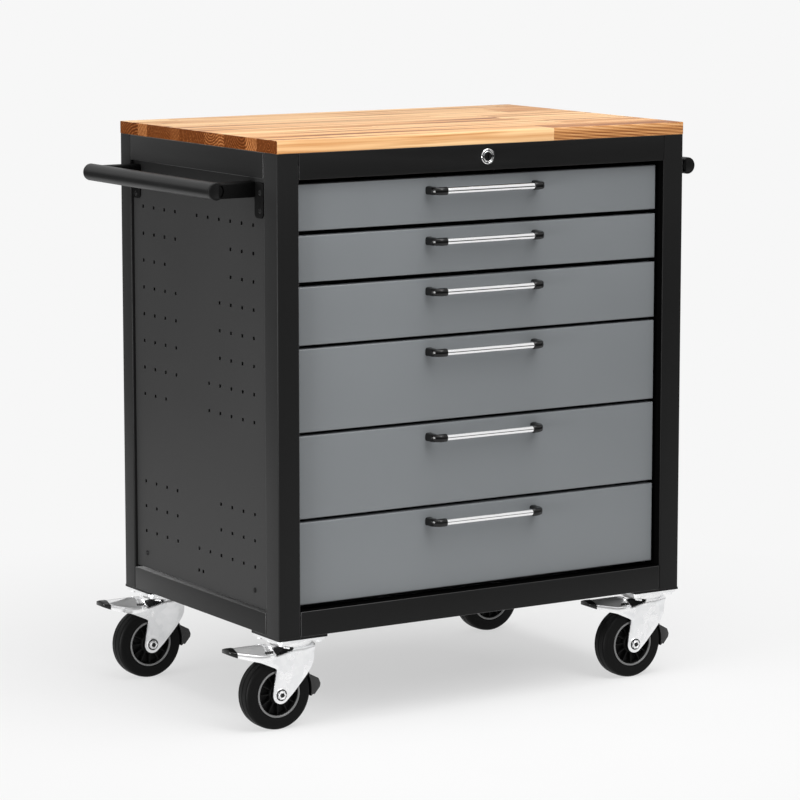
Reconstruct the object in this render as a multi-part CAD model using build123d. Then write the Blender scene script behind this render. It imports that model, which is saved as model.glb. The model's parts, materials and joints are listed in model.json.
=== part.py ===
import os
from math import radians, sin

from build123d import *

# Rolling tool chest in millimetres: +Z is up and the front faces -Y.
# The origin is on the floor, under the middle of the whole chest with its handles.

# Frame of square tube posts and folded rails
FRAME_WIDTH = 830
FRAME_DEPTH = 553
FRAME_SHEET = 1.5
POST_WIDTH = 42
FRONT_POST_DEPTH = 45
REAR_POST_DEPTH = 38
POST_CORNER = 3
TOP_RAIL_HEIGHT = 44
BOTTOM_RAIL_HEIGHT = 43
SIDE_BOTTOM_RAIL_HEIGHT = 38
RAIL_DEPTH = 30
SEAM = 0.6

# Worktop
WORKTOP_THICKNESS = 22
WORKTOP_CHAMFER = 1

# Side, back and base panels
PANEL_SHEET = 1.2
PANEL_RECESS = 6
PANEL_FLANGE = 14
PANEL_GAP = 0.5
PANEL_FOOT_GAP = 4
BACK_RECESS = 2
BACK_FLANGE = 12
BASE_GAP = 0.4

# Square hook holes of the side panels, seen from the left, rear column first
HOLE_WIDTH = 6
HOLE_COLUMN_PITCH = 39
HOLE_REAR_INSET = 34
UPPER_ROW_PITCH = 47.7
UPPER_TOP_INSET = 80
LOWER_ROW_PITCH = 45
LOWER_FOOT_INSET = 67
HOLE_EDGE = 12
FOOT_PAIR_PITCH = 15
FOOT_PAIR_RISE = 28
UPPER_ROWS = (
    "####.######",
    "####....###",
    "###.....###",
    "####...####",
    "####...####",
    "####...####",
    "####..#####",
    "###...#####",
)
LOWER_ROWS = (
    "####...####",
    "####...####",
    "####.######",
)

# Drawers from the top down: each front and the gap above it
FRONT_HEIGHTS = (78, 78, 98, 141, 141, 141)
FRONT_GAPS = (9, 8, 8, 6, 6, 6)
LOWEST_GAP = 8
FRONT_SIDE_GAP = 6.5
FRONT_RECESS = 15
FRONT_DEPTH = 18
FRONT_CHAMFER = 1
DRAWER_SHEET = 1.2
BOX_RISE = 6
BOX_TOP_DROP = 18
BOX_REAR_ROOM = 32

# Drawer runners: a channel on the posts and a rail on the box
CHANNEL_HEIGHT = 30
CHANNEL_DEPTH = 11
CHANNEL_SHEET = 1.5
CHANNEL_FRONT_INSET = 36
CHANNEL_REAR_GAP = 1
CHANNEL_RISE = 8
RUNNING_GAP = 0.5
BOX_SIDE_GAP = 1

# Drawer handles
GRIP_LENGTH = 180
GRIP_DIAMETER = 12
HANDLE_END_LENGTH = 25.5
HANDLE_END_SIZE = 14
HANDLE_END_CORNER = 7
HANDLE_END_CHAMFER = 2
HANDLE_STANDOFF = 24
HANDLE_DROP = 22
SLIP_FIT = 0.05

# Lock: housing and plug in the top rail, crank shaft to the rear, hooked bar on the back panel
LOCK_DROP = 21
BEZEL_DIAMETER = 27
BEZEL_THICKNESS = 2.5
HOUSING_WIDTH = 20
HOUSING_LENGTH = 24
PLUG_DIAMETER = 15
KEYWAY_WIDTH = 2
KEYWAY_HEIGHT = 9
KEYWAY_DEPTH = 8
SHAFT_DIAMETER = 8
CRANK_WIDTH = 11
CRANK_THICKNESS = 4
CRANK_THROW = 8.5
CRANK_PIN_DIAMETER = 5
CRANK_PIN_GAP = 0.6
LOCK_TURN = 90
BAR_WIDTH = 25
BAR_HEAD_WIDTH = 36
BAR_HEAD_HEIGHT = 26
BAR_THICKNESS = 3
BAR_BACK_GAP = 6
BAR_GUIDE_GAP = 0.3
GUIDE_HEIGHT = 18
GUIDE_SHEET = 1.5
GUIDE_DROP = 4
GUIDE_COUNT = 2
HOOK_WIDTH = 8
HOOK_THICKNESS = 3
HOOK_LIFT = 3
TAB_LENGTH = 19
TAB_WIDTH = 30
TAB_THICKNESS = 2
TAB_SLOT_GAP = 2
TAB_EDGE = 3

# Push handles on both sides
PUSH_TUBE_DIAMETER = 30
PUSH_TUBE_WALL = 2
PUSH_TUBE_FRONT = 78
PUSH_TUBE_REAR = 20
PUSH_TUBE_STANDOFF = 70
PUSH_TUBE_DROP = 64
PUSH_CAP_THICKNESS = 4
ARM_WIDTH = 28
ARM_HEIGHT = 26
ARM_SHEET = 2.5
ARM_REAR_INSET = 18
FOOT_THICKNESS = 3
FOOT_LENGTH = 34
FOOT_CORNER = 8
WELD_GAP = 0.1

# Casters
WHEEL_DIAMETER = 125
TYRE_WIDTH = 35
TYRE_INNER_DIAMETER = 82
TYRE_CHAMFER = 3
SEAT_SIDES_COUNT = 24
RIM_LIP = 4
RIM_WEB = 10
HUB_DIAMETER = 34
HUB_GAP = 0.5
RIB_COUNT = 6
RIB_ANGLE = 9
AXLE_DIAMETER = 10
AXLE_HEAD_WIDTH = 17
AXLE_HEAD_THICKNESS = 4
SPACER_WIDTH = 18
CASTER_INSET = 47
CASTER_TRAIL = 31
GUSSET_THICKNESS = 4
PLATE_THICKNESS = 4
PLATE_CORNER = 6
RACE_DIAMETER = 78
RACE_DEPTH = 6
COLLAR_WIDTH = 58
COLLAR_HEIGHT = 3.5
SWIVEL_GAP = 0.5
KINGPIN_DIAMETER = 14
KINGPIN_NUT_WIDTH = 22
KINGPIN_NUT_HEIGHT = 5
FORK_INNER_WIDTH = 44
FORK_SHEET = 3
FORK_BOSS_DIAMETER = 31
FORK_FRONT_REACH = 36
FORK_REAR_REACH = 38
FORK_SHOULDER_DROP = 32
WING_REACH = 72
WING_TOP_DROP = 6
WING_TIP_DROP = 12
WING_DROP = 22
WING_ROOT_DROP = 35
TREAD_CLEARANCE = 17

# Brake pedal over the wheel and brake block behind it
PEDAL_SHEET = 2.5
PEDAL_SIDE_GAP = 0.5
PEDAL_REACH = 124
PEDAL_ROOT = 42
PEDAL_TIP_WIDTH = 32
PEDAL_TIP_RISE = 3
PEDAL_SKIRT = 22
PEDAL_TIP_SKIRT = 9
PEDAL_PIN_DIAMETER = 6
PEDAL_PIN_DROP = 9
PEDAL_EAR_RADIUS = 7
BLOCK_SIDE_GAP = 0.5
BLOCK_HEIGHT = 39
BLOCK_NOSE = 21
BLOCK_TAPER = 10
BLOCK_SLOPE = 5.5
BLOCK_FOOT = 11.5
BLOCK_TREAD_GAP = 2
STRAP_WIDTH = 14
STRAP_INSET = 6
STRAP_NECK = 8.5

# Derived levels and planes
WHEEL_RADIUS = WHEEL_DIAMETER / 2
CROWN_Z = WHEEL_DIAMETER + TREAD_CLEARANCE
CROWN_TOP_Z = CROWN_Z + FORK_SHEET
COLLAR_Z = CROWN_TOP_Z + SWIVEL_GAP
RACE_Z = COLLAR_Z + COLLAR_HEIGHT
PLATE_Z = RACE_Z + RACE_DEPTH
GUSSET_Z = PLATE_Z + PLATE_THICKNESS
FRAME_Z = GUSSET_Z + GUSSET_THICKNESS
OPENING_HEIGHT = sum(FRONT_HEIGHTS) + sum(FRONT_GAPS) + LOWEST_GAP
FRAME_HEIGHT = BOTTOM_RAIL_HEIGHT + OPENING_HEIGHT + TOP_RAIL_HEIGHT
FRAME_TOP_Z = FRAME_Z + FRAME_HEIGHT
OPENING_TOP_Z = FRAME_TOP_Z - TOP_RAIL_HEIGHT
SIDE_X = FRAME_WIDTH / 2
POST_X = SIDE_X - POST_WIDTH
HANDLE_REACH = HANDLE_STANDOFF + HANDLE_END_SIZE / 2 - FRONT_RECESS
FRONT_Y = (HANDLE_REACH - FRAME_DEPTH) / 2
BACK_Y = FRONT_Y + FRAME_DEPTH
REAR_POST_Y = BACK_Y - REAR_POST_DEPTH
BACK_INNER_Y = BACK_Y - BACK_RECESS - PANEL_SHEET
FRONT_FACE_Y = FRONT_Y + FRONT_RECESS
BOX_FRONT_Y = FRONT_FACE_Y + DRAWER_SHEET
BOX_REAR_Y = BACK_INNER_Y - BOX_REAR_ROOM
BOX_X = POST_X - CHANNEL_DEPTH - BOX_SIDE_GAP
BAR_Y = BACK_INNER_Y - BAR_BACK_GAP - BAR_THICKNESS
LOCK_Z = FRAME_TOP_Z - LOCK_DROP
CRANK_RISE = CRANK_THROW * sin(radians(LOCK_TURN / 2))
HOOK_DROP = 2 * CRANK_RISE
FORK_OUTER_Y = FORK_INNER_WIDTH / 2 + FORK_SHEET
GUSSET_SIZE = 2 * CASTER_INSET
PUSH_TUBE_LENGTH = FRAME_DEPTH - PUSH_TUBE_FRONT - PUSH_TUBE_REAR

CENTRE_MIN = (Align.CENTER, Align.MIN, Align.MIN)
MIN_ALL = (Align.MIN, Align.MIN, Align.MIN)
BASE = (Align.CENTER, Align.CENTER, Align.MIN)


def block(low, high):
    """A box between two corners."""
    size = [b - a for a, b in zip(low, high)]
    return Pos(*low) * Box(*size, align=MIN_ALL)


def rod_y(radius, start, end, x=0, z=0):
    """A round bar along Y."""
    return Pos(x, start, z) * Rot(-90, 0, 0) * Cylinder(radius, end - start, align=BASE)


def both_sides(shape):
    """The shape and its mirror image on the other side of the chest."""
    return shape, mirror(shape, about=Plane.YZ)


def front_level(number):
    """Underside and top of a drawer front, counted from the top drawer down."""
    above = sum(FRONT_GAPS[: number + 1]) + sum(FRONT_HEIGHTS[:number])
    top = OPENING_TOP_Z - above
    return top - FRONT_HEIGHTS[number], top


def worktop():
    board = Box(FRAME_WIDTH, FRAME_DEPTH, WORKTOP_THICKNESS, align=CENTRE_MIN)
    board = Pos(0, FRONT_Y, FRAME_TOP_Z) * board
    return chamfer(board.faces().sort_by(Axis.Z)[-1].edges(), WORKTOP_CHAMFER)


def post(x_centre, y_start, depth):
    wall = 2 * FRAME_SHEET
    section = RectangleRounded(POST_WIDTH, depth, POST_CORNER)
    section -= Rectangle(POST_WIDTH - wall, depth - wall)
    return Pos(x_centre, y_start + depth / 2, FRAME_Z) * extrude(section, FRAME_HEIGHT)


def rail(length, height):
    """A folded channel that shows its web to the front and opens to the rear."""
    web = Box(length, RAIL_DEPTH, height, align=CENTRE_MIN)
    hollow = Box(length, RAIL_DEPTH, height - 2 * FRAME_SHEET, align=CENTRE_MIN)
    return web - Pos(0, FRAME_SHEET, FRAME_SHEET) * hollow


def front_rail(z, height):
    return Pos(0, FRONT_Y, z) * rail(2 * (POST_X - SEAM), height)


def side_rails():
    """Upper and lower rail of the left side."""
    length = REAR_POST_Y - FRONT_Y - FRONT_POST_DEPTH - 2 * SEAM
    middle = FRONT_Y + FRONT_POST_DEPTH + SEAM + length / 2
    levels = ((OPENING_TOP_Z, TOP_RAIL_HEIGHT), (FRAME_Z, SIDE_BOTTOM_RAIL_HEIGHT))
    return [Pos(-SIDE_X, middle, z) * Rot(0, 0, -90) * rail(length, height) for z, height in levels]


def perforation(front, rear, foot, top):
    """Hole centres (y, z) of the side panel, without those that would cut its edge."""
    upper = [(row, top - UPPER_TOP_INSET - i * UPPER_ROW_PITCH) for i, row in enumerate(UPPER_ROWS)]
    lower_rows = reversed(LOWER_ROWS)
    lower = [(row, foot + LOWER_FOOT_INSET + i * LOWER_ROW_PITCH) for i, row in enumerate(lower_rows)]
    centres = [
        (rear - HOLE_REAR_INSET - column * HOLE_COLUMN_PITCH, z)
        for row, z in upper + lower
        for column, mark in enumerate(row)
        if mark == "#"
    ]
    middle, pair_z = (front + rear) / 2, foot + FOOT_PAIR_RISE
    centres += [(middle - FOOT_PAIR_PITCH / 2, pair_z), (middle + FOOT_PAIR_PITCH / 2, pair_z)]
    inside_y = (front + HOLE_EDGE, rear - HOLE_EDGE)
    inside_z = (foot + HOLE_EDGE, top - HOLE_EDGE)
    return [
        (y, z) for y, z in centres if inside_y[0] < y < inside_y[1] and inside_z[0] < z < inside_z[1]
    ]


def side_panel():
    """Left side panel: a shallow pan with its flanges turned inwards."""
    face_x = -SIDE_X + PANEL_RECESS
    front, rear = FRONT_Y + FRONT_POST_DEPTH + PANEL_GAP, REAR_POST_Y - PANEL_GAP
    foot = FRAME_Z + SIDE_BOTTOM_RAIL_HEIGHT + PANEL_FOOT_GAP
    top = OPENING_TOP_Z - PANEL_GAP
    pan = block((face_x, front, foot), (face_x + PANEL_FLANGE, rear, top))
    pan -= block(
        (face_x + PANEL_SHEET, front + PANEL_SHEET, foot + PANEL_SHEET),
        (face_x + 2 * PANEL_FLANGE, rear - PANEL_SHEET, top - PANEL_SHEET),
    )
    holes = Sketch() + [
        Pos(y, z) * Rectangle(HOLE_WIDTH, HOLE_WIDTH) for y, z in perforation(front, rear, foot, top)
    ]
    cut = extrude(Plane.YZ.offset(face_x - PANEL_SHEET) * holes, 3 * PANEL_SHEET)
    return pan - cut


def back_panel():
    """Back sheet with flanges turned forwards, and the guides of the lock bar."""
    half = POST_X - PANEL_GAP
    outer_y = BACK_Y - BACK_RECESS
    pan = block((-half, outer_y - BACK_FLANGE, FRAME_Z), (half, outer_y, FRAME_TOP_Z))
    pan -= block(
        (-half + PANEL_SHEET, outer_y - 2 * BACK_FLANGE, FRAME_Z + PANEL_SHEET),
        (half - PANEL_SHEET, BACK_INNER_Y, FRAME_TOP_Z - PANEL_SHEET),
    )
    spread = [(2 * i + 1) * len(FRONT_HEIGHTS) // (2 * GUIDE_COUNT) for i in range(GUIDE_COUNT)]
    return [pan] + [bar_guide(number) for number in spread]


def bar_guide(number):
    """A bridge on the back sheet, below a drawer's hook, that the lock bar slides through."""
    z = box_levels(number)[1] - GUIDE_DROP - GUIDE_HEIGHT
    room = BAR_WIDTH / 2 + BAR_GUIDE_GAP
    front = BAR_Y - BAR_GUIDE_GAP - GUIDE_SHEET
    bridge = block((-room - GUIDE_SHEET, front, z), (room + GUIDE_SHEET, BACK_INNER_Y, z + GUIDE_HEIGHT))
    return bridge - block((-room, front + GUIDE_SHEET, z), (room, BACK_INNER_Y, z + GUIDE_HEIGHT))


def base_panel():
    """Floor sheet on the flanges of the bottom rails, notched around the posts."""
    z = FRAME_Z + FRAME_SHEET
    edge_x = SIDE_X - FRAME_SHEET - BASE_GAP
    front, rear = FRONT_Y + FRAME_SHEET + BASE_GAP, BACK_INNER_Y - BASE_GAP
    sheet = block((-edge_x, front, z), (edge_x, rear, z + PANEL_SHEET))
    front_x = POST_X - BASE_GAP
    rear_x = front_x - PANEL_GAP - PANEL_SHEET
    notches = (
        block((front_x, FRONT_Y, z), (SIDE_X, FRONT_Y + FRONT_POST_DEPTH + BASE_GAP, z + PANEL_SHEET)),
        block((rear_x, REAR_POST_Y - BASE_GAP, z), (SIDE_X, BACK_Y, z + PANEL_SHEET)),
    )
    return sheet - [side for notch in notches for side in both_sides(notch)]


def channel_foot(number):
    """Underside of the runner channels of a drawer."""
    return front_level(number)[0] + BOX_RISE + CHANNEL_RISE


def runner_channel(number):
    """Left channel of a drawer, open towards the box."""
    z = channel_foot(number)
    front = FRONT_Y + CHANNEL_FRONT_INSET
    rear = BACK_Y - BACK_RECESS - BACK_FLANGE - CHANNEL_REAR_GAP
    outer = block((-POST_X, front, z), (-POST_X + CHANNEL_DEPTH, rear, z + CHANNEL_HEIGHT))
    return outer - block(
        (-POST_X + CHANNEL_SHEET, front, z + CHANNEL_SHEET),
        (-POST_X + 2 * CHANNEL_DEPTH, rear, z + CHANNEL_HEIGHT - CHANNEL_SHEET),
    )


def runner_rail(number):
    """Left rail of a drawer box, which runs inside the channel."""
    gap = CHANNEL_SHEET + RUNNING_GAP
    low = channel_foot(number) + gap
    high = channel_foot(number) + CHANNEL_HEIGHT - gap
    outer_x = -POST_X + gap
    front = FRONT_Y + CHANNEL_FRONT_INSET
    bar = block((outer_x, front, low), (-BOX_X, BOX_REAR_Y, high))
    return bar - block(
        (outer_x, front, low + CHANNEL_SHEET), (-BOX_X - CHANNEL_SHEET, BOX_REAR_Y, high - CHANNEL_SHEET)
    )


def drawer_front(number):
    """Folded front: a pan that is open to the rear."""
    low, high = front_level(number)
    half = POST_X - FRONT_SIDE_GAP
    pan = block((-half, FRONT_FACE_Y, low), (half, FRONT_FACE_Y + FRONT_DEPTH, high))
    pan = chamfer(pan.faces().sort_by(Axis.Y)[0].edges(), FRONT_CHAMFER)
    return pan - block(
        (-half + DRAWER_SHEET, BOX_FRONT_Y, low + DRAWER_SHEET),
        (half - DRAWER_SHEET, FRONT_FACE_Y + 2 * FRONT_DEPTH, high - DRAWER_SHEET),
    )


def box_levels(number):
    low, high = front_level(number)
    return low + BOX_RISE, high - BOX_TOP_DROP


def hook_y():
    """Front and rear of a hook's tip, which drops through the slot of the drawer's tab."""
    rear = BOX_REAR_Y + TAB_LENGTH - TAB_EDGE - TAB_SLOT_GAP
    return rear - HOOK_THICKNESS, rear


def drawer_box(number):
    """Sheet tray with the slotted latch tab on its rear wall."""
    low, high = box_levels(number)
    tray = block((-BOX_X, BOX_FRONT_Y, low), (BOX_X, BOX_REAR_Y, high))
    tray -= block(
        (-BOX_X + DRAWER_SHEET, BOX_FRONT_Y + DRAWER_SHEET, low + DRAWER_SHEET),
        (BOX_X - DRAWER_SHEET, BOX_REAR_Y - DRAWER_SHEET, high + DRAWER_SHEET),
    )
    tab = block(
        (-TAB_WIDTH / 2, BOX_REAR_Y, high - TAB_THICKNESS), (TAB_WIDTH / 2, BOX_REAR_Y + TAB_LENGTH, high)
    )
    slot_front, slot_rear = hook_y()
    slot_half = HOOK_WIDTH / 2 + TAB_SLOT_GAP
    slot = block(
        (-slot_half, slot_front - TAB_SLOT_GAP, high - TAB_THICKNESS),
        (slot_half, slot_rear + TAB_SLOT_GAP, high),
    )
    return tray + (tab - slot)


def drawer(number):
    return [drawer_front(number), drawer_box(number), *both_sides(runner_rail(number))]


def handle_place(number):
    """Location of a drawer's grip axis, at the middle of the handle."""
    return Pos(0, FRONT_FACE_Y - HANDLE_STANDOFF, front_level(number)[1] - HANDLE_DROP)


def handle_bar(number):
    return handle_place(number) * Rot(0, 90, 0) * Cylinder(GRIP_DIAMETER / 2, GRIP_LENGTH)


def handle_ends(number):
    """Two moulded elbows that hold the grip off the drawer front."""
    half = HANDLE_END_SIZE / 2
    inner, outer = GRIP_LENGTH / 2, GRIP_LENGTH / 2 + HANDLE_END_LENGTH
    elbow = make_face(Polyline(
        (inner, -half), (outer, -half), (outer, HANDLE_STANDOFF), (outer - HANDLE_END_SIZE, HANDLE_STANDOFF),
        (outer - HANDLE_END_SIZE, half), (inner, half), close=True,
    ))
    elbow = chamfer(elbow.vertices().sort_by_distance((outer, -half))[0], HANDLE_END_CORNER)
    body = Pos(0, 0, -half) * extrude(elbow, HANDLE_END_SIZE)
    front_edges = body.edges().filter_by(Axis.X).sort_by(Axis.Y)[:2]
    body = chamfer(front_edges, HANDLE_END_CHAMFER)
    return [handle_place(number) * end for end in both_sides(body)]


def lock_housing():
    """Bezel on the top rail and barrel behind it, bored for the plug."""
    bezel = rod_y(BEZEL_DIAMETER / 2, FRONT_Y - BEZEL_THICKNESS, FRONT_Y, z=LOCK_Z)
    barrel = upright_plate(barrel_outline(), FRONT_Y, FRONT_Y + HOUSING_LENGTH)
    bore = rod_y(
        PLUG_DIAMETER / 2 + SLIP_FIT, FRONT_Y - BEZEL_THICKNESS, FRONT_Y + HOUSING_LENGTH, z=LOCK_Z
    )
    return bezel + barrel - bore


def barrel_outline():
    """Six-sided barrel of the lock, which its hole keeps from turning."""
    return Pos(0, LOCK_Z) * RegularPolygon(HOUSING_WIDTH / 2, 6, major_radius=False)


def lock_rail():
    """Top rail with the hole for the lock."""
    outline = offset(barrel_outline(), SLIP_FIT, kind=Kind.INTERSECTION)
    hole = upright_plate(outline, FRONT_Y, FRONT_Y + FRAME_SHEET)
    return front_rail(OPENING_TOP_Z, TOP_RAIL_HEIGHT) - hole


def crank_pin_place():
    """Crank pin (x, z) while the chest is unlocked: raised half the turn above the axis."""
    side = CRANK_THROW * sin(radians(90 - LOCK_TURN / 2))
    return side, LOCK_Z + CRANK_RISE


def lock_plug():
    """Plug with keyway, long shaft to the rear and crank with its pin."""
    face = FRONT_Y - BEZEL_THICKNESS
    plug = rod_y(PLUG_DIAMETER / 2, face, FRONT_Y + HOUSING_LENGTH + SEAM, z=LOCK_Z)
    plug -= block(
        (-KEYWAY_WIDTH / 2, face, LOCK_Z - KEYWAY_HEIGHT / 2),
        (KEYWAY_WIDTH / 2, face + KEYWAY_DEPTH, LOCK_Z + KEYWAY_HEIGHT / 2),
    )
    crank_y = BAR_Y - RUNNING_GAP - CRANK_THICKNESS
    shaft = rod_y(SHAFT_DIAMETER / 2, FRONT_Y + HOUSING_LENGTH, crank_y, z=LOCK_Z)
    pin_x, pin_z = crank_pin_place()
    arm = Pos(CRANK_THROW / 2, 0) * Rectangle(CRANK_THROW + CRANK_WIDTH, CRANK_WIDTH)
    arm = Pos(0, LOCK_Z) * Rot(0, 0, LOCK_TURN / 2) * arm
    crank = upright_plate(arm, crank_y, crank_y + CRANK_THICKNESS)
    pin = rod_y(CRANK_PIN_DIAMETER / 2, crank_y, BAR_Y + BAR_THICKNESS, x=pin_x, z=pin_z)
    return plug + shaft + crank + pin


def lock_bar():
    """Flat bar with the crank's slot in its head and one hook for each drawer."""
    pin_x, pin_z = crank_pin_place()
    foot = box_levels(len(FRONT_HEIGHTS) - 1)[1]
    strip = block((-BAR_WIDTH / 2, BAR_Y, foot), (BAR_WIDTH / 2, BAR_Y + BAR_THICKNESS, pin_z))
    head = block(
        (-BAR_HEAD_WIDTH / 2, BAR_Y, pin_z - BAR_HEAD_HEIGHT / 2),
        (BAR_HEAD_WIDTH / 2, BAR_Y + BAR_THICKNESS, pin_z + BAR_HEAD_HEIGHT / 2),
    )
    room = CRANK_PIN_DIAMETER / 2 + CRANK_PIN_GAP
    slot = block(
        (pin_x - room, BAR_Y, pin_z - room), (CRANK_THROW + room, BAR_Y + BAR_THICKNESS, pin_z + room)
    )
    hooks = [hook(number) for number in range(len(FRONT_HEIGHTS))]
    return strip + head - slot + hooks


def hook(number):
    """Finger over a drawer's tab with a tip that hangs above the slot while unlocked."""
    tab_top = box_levels(number)[1]
    tip_low = tab_top + HOOK_LIFT
    finger_low = tip_low + HOOK_DROP
    front, rear = hook_y()
    half = HOOK_WIDTH / 2
    finger = block((-half, front, finger_low), (half, BAR_Y, finger_low + HOOK_THICKNESS))
    return finger + block((-half, front, tip_low), (half, rear, finger_low))


def push_tube_place():
    """Front end of the left push tube, on its axis."""
    return -SIDE_X - PUSH_TUBE_STANDOFF, FRONT_Y + PUSH_TUBE_FRONT, FRAME_TOP_Z - PUSH_TUBE_DROP


def push_tube():
    """Left tube with a cap on each end."""
    x, y, z = push_tube_place()
    radius = PUSH_TUBE_DIAMETER / 2
    end = y + PUSH_TUBE_LENGTH
    front, rear = y + PUSH_CAP_THICKNESS, end - PUSH_CAP_THICKNESS
    tube = rod_y(radius, front, rear, x, z) - rod_y(radius - PUSH_TUBE_WALL, front, rear, x, z)
    return [tube, rod_y(radius, y, front, x, z), rod_y(radius, rear, end, x, z)]


def push_arm(y_start, foot_start):
    """Folded arm from the side panel to the tube, with a foot that hangs on the panel."""
    x, _, z = push_tube_place()
    seat_x = -SIDE_X + PANEL_RECESS
    low, high = z - ARM_HEIGHT / 2, z + ARM_HEIGHT / 2
    y_end = y_start + ARM_WIDTH
    arm = block((x, y_start, low), (seat_x, y_end, high))
    foot_x = seat_x - FOOT_THICKNESS
    arm -= block(
        (x, y_start + ARM_SHEET, low - ARM_SHEET), (foot_x, y_end - ARM_SHEET, high - ARM_SHEET)
    )
    foot = block((foot_x, foot_start, low - FOOT_LENGTH), (seat_x, foot_start + ARM_WIDTH, high))
    lower = foot.edges().filter_by(Axis.X).sort_by(Axis.Z)[:2]
    arm += chamfer(lower, FOOT_CORNER)
    saddle = rod_y(PUSH_TUBE_DIAMETER / 2 + WELD_GAP, y_start - ARM_WIDTH, y_end + ARM_WIDTH, x, z)
    return arm - saddle


def push_arms():
    """Front and rear arm of the left handle."""
    front = FRONT_Y + PUSH_TUBE_FRONT
    rear = front + PUSH_TUBE_LENGTH - ARM_REAR_INSET - ARM_WIDTH
    return [push_arm(front, front - ARM_WIDTH + ARM_SHEET), push_arm(rear, rear)]


def caster_places():
    """Swivel axis (x, y) of each caster by its corner."""
    x = SIDE_X - CASTER_INSET
    front, rear = FRONT_Y + CASTER_INSET, BACK_Y - CASTER_INSET
    return {
        "front_left": (-x, front), "front_right": (x, front), "rear_left": (-x, rear), "rear_right": (x, rear)
    }


def gusset(x, y):
    return Pos(x, y, GUSSET_Z) * Box(GUSSET_SIZE, GUSSET_SIZE, GUSSET_THICKNESS, align=BASE)


def caster_plate(x, y):
    """Plate with the ball race and collar below it, and the kingpin with its nut under the fork's crown."""
    outline = chamfer(Rectangle(GUSSET_SIZE, GUSSET_SIZE).vertices(), PLATE_CORNER)
    body = Pos(0, 0, PLATE_Z) * extrude(outline, PLATE_THICKNESS)
    body += Pos(0, 0, RACE_Z) * Cylinder(RACE_DIAMETER / 2, RACE_DEPTH, align=BASE)
    collar = RegularPolygon(COLLAR_WIDTH / 2, 12, major_radius=False)
    body += Pos(0, 0, COLLAR_Z) * extrude(collar, COLLAR_HEIGHT)
    nut_top = CROWN_Z - SWIVEL_GAP
    body += Pos(0, 0, nut_top) * Cylinder(KINGPIN_DIAMETER / 2, COLLAR_Z - nut_top, align=BASE)
    nut = RegularPolygon(KINGPIN_NUT_WIDTH / 2, 6, major_radius=False)
    body += Pos(0, 0, nut_top - KINGPIN_NUT_HEIGHT) * extrude(nut, KINGPIN_NUT_HEIGHT)
    return Pos(x, y, 0) * body


def leg_outline():
    """Side view (x, z) of a fork leg: boss at the axle, slanted front and a wing below the pedal."""
    boss = Pos(-CASTER_TRAIL, WHEEL_RADIUS) * Circle(FORK_BOSS_DIAMETER / 2)
    shoulder = CROWN_TOP_Z - FORK_SHOULDER_DROP
    root = CROWN_TOP_Z - WING_ROOT_DROP
    top = Polyline(
        (-FORK_REAR_REACH, root), (FORK_FRONT_REACH, shoulder), (FORK_FRONT_REACH, CROWN_TOP_Z),
        (-FORK_REAR_REACH, CROWN_TOP_Z), close=True,
    )
    leg = make_hull(boss.edges() + top.edges())
    wing = Polyline(
        (-FORK_REAR_REACH, root), (-FORK_REAR_REACH, CROWN_TOP_Z - WING_TOP_DROP),
        (-WING_REACH, CROWN_TOP_Z - WING_TIP_DROP), (-WING_REACH, CROWN_TOP_Z - WING_DROP), close=True,
    )
    return leg + make_face(wing)


def pedal_pin():
    """Pedal pivot (x, z) on the fork, measured from the swivel axis and the floor."""
    return -PEDAL_ROOT - PEDAL_EAR_RADIUS, CROWN_Z - PEDAL_PIN_DROP


def upright_plate(outline, start, end):
    """A plate between two Y planes whose outline is drawn in side view (x, z)."""
    return Pos(0, end, 0) * extrude(Plane.XZ * outline, end - start)


def fork(x, y):
    """Pressed fork with its axle and the pins that carry the pedal."""
    inner = FORK_INNER_WIDTH / 2
    legs = upright_plate(leg_outline(), inner, FORK_OUTER_Y)
    legs += mirror(legs, about=Plane.XZ)
    crown = block((-FORK_REAR_REACH, -inner, CROWN_Z), (FORK_FRONT_REACH, inner, CROWN_TOP_Z))
    crown -= Pos(0, 0, CROWN_Z) * Cylinder(KINGPIN_DIAMETER / 2 + SLIP_FIT, FORK_SHEET, align=BASE)
    pin_x, pin_z = pedal_pin()
    pin = rod_y(PEDAL_PIN_DIAMETER / 2, inner, FORK_OUTER_Y + PEDAL_SIDE_GAP + PEDAL_SHEET, pin_x, pin_z)
    return Pos(x, y, 0) * (legs + crown + axle() + pin + mirror(pin, about=Plane.XZ))


def axle():
    """Axle bolt with spacers beside the wheel, and a hexagon head and nut outside the fork."""
    centre = Pos(-CASTER_TRAIL, WHEEL_RADIUS)
    head = centre * RegularPolygon(AXLE_HEAD_WIDTH / 2, 6, major_radius=False)
    spacer = centre * RegularPolygon(SPACER_WIDTH / 2, 8, major_radius=False)
    inner = FORK_INNER_WIDTH / 2
    end = upright_plate(head, FORK_OUTER_Y, FORK_OUTER_Y + AXLE_HEAD_THICKNESS)
    end += upright_plate(spacer, TYRE_WIDTH / 2 + HUB_GAP, inner)
    shank = rod_y(AXLE_DIAMETER / 2, -inner, inner, -CASTER_TRAIL, WHEEL_RADIUS)
    return shank + end + mirror(end, about=Plane.XZ)


def wheel_place(x, y):
    """Centre of a wheel, with its axle along the local Z axis."""
    return Pos(x - CASTER_TRAIL, y, WHEEL_RADIUS) * Rot(90, 0, 0)


def tyre(x, y):
    """Rubber tread with broken shoulders."""
    tread = Cylinder(WHEEL_RADIUS, TYRE_WIDTH)
    tread = chamfer(tread.edges().filter_by(GeomType.CIRCLE), TYRE_CHAMFER)
    return wheel_place(x, y) * (tread - rim_blank())


def rim_blank():
    """Faceted drum that the tyre is moulded on, so that it can't turn on the rim."""
    seat = RegularPolygon(TYRE_INNER_DIAMETER / 2, SEAT_SIDES_COUNT)
    return Pos(0, 0, -TYRE_WIDTH / 2) * extrude(seat, TYRE_WIDTH)


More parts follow.
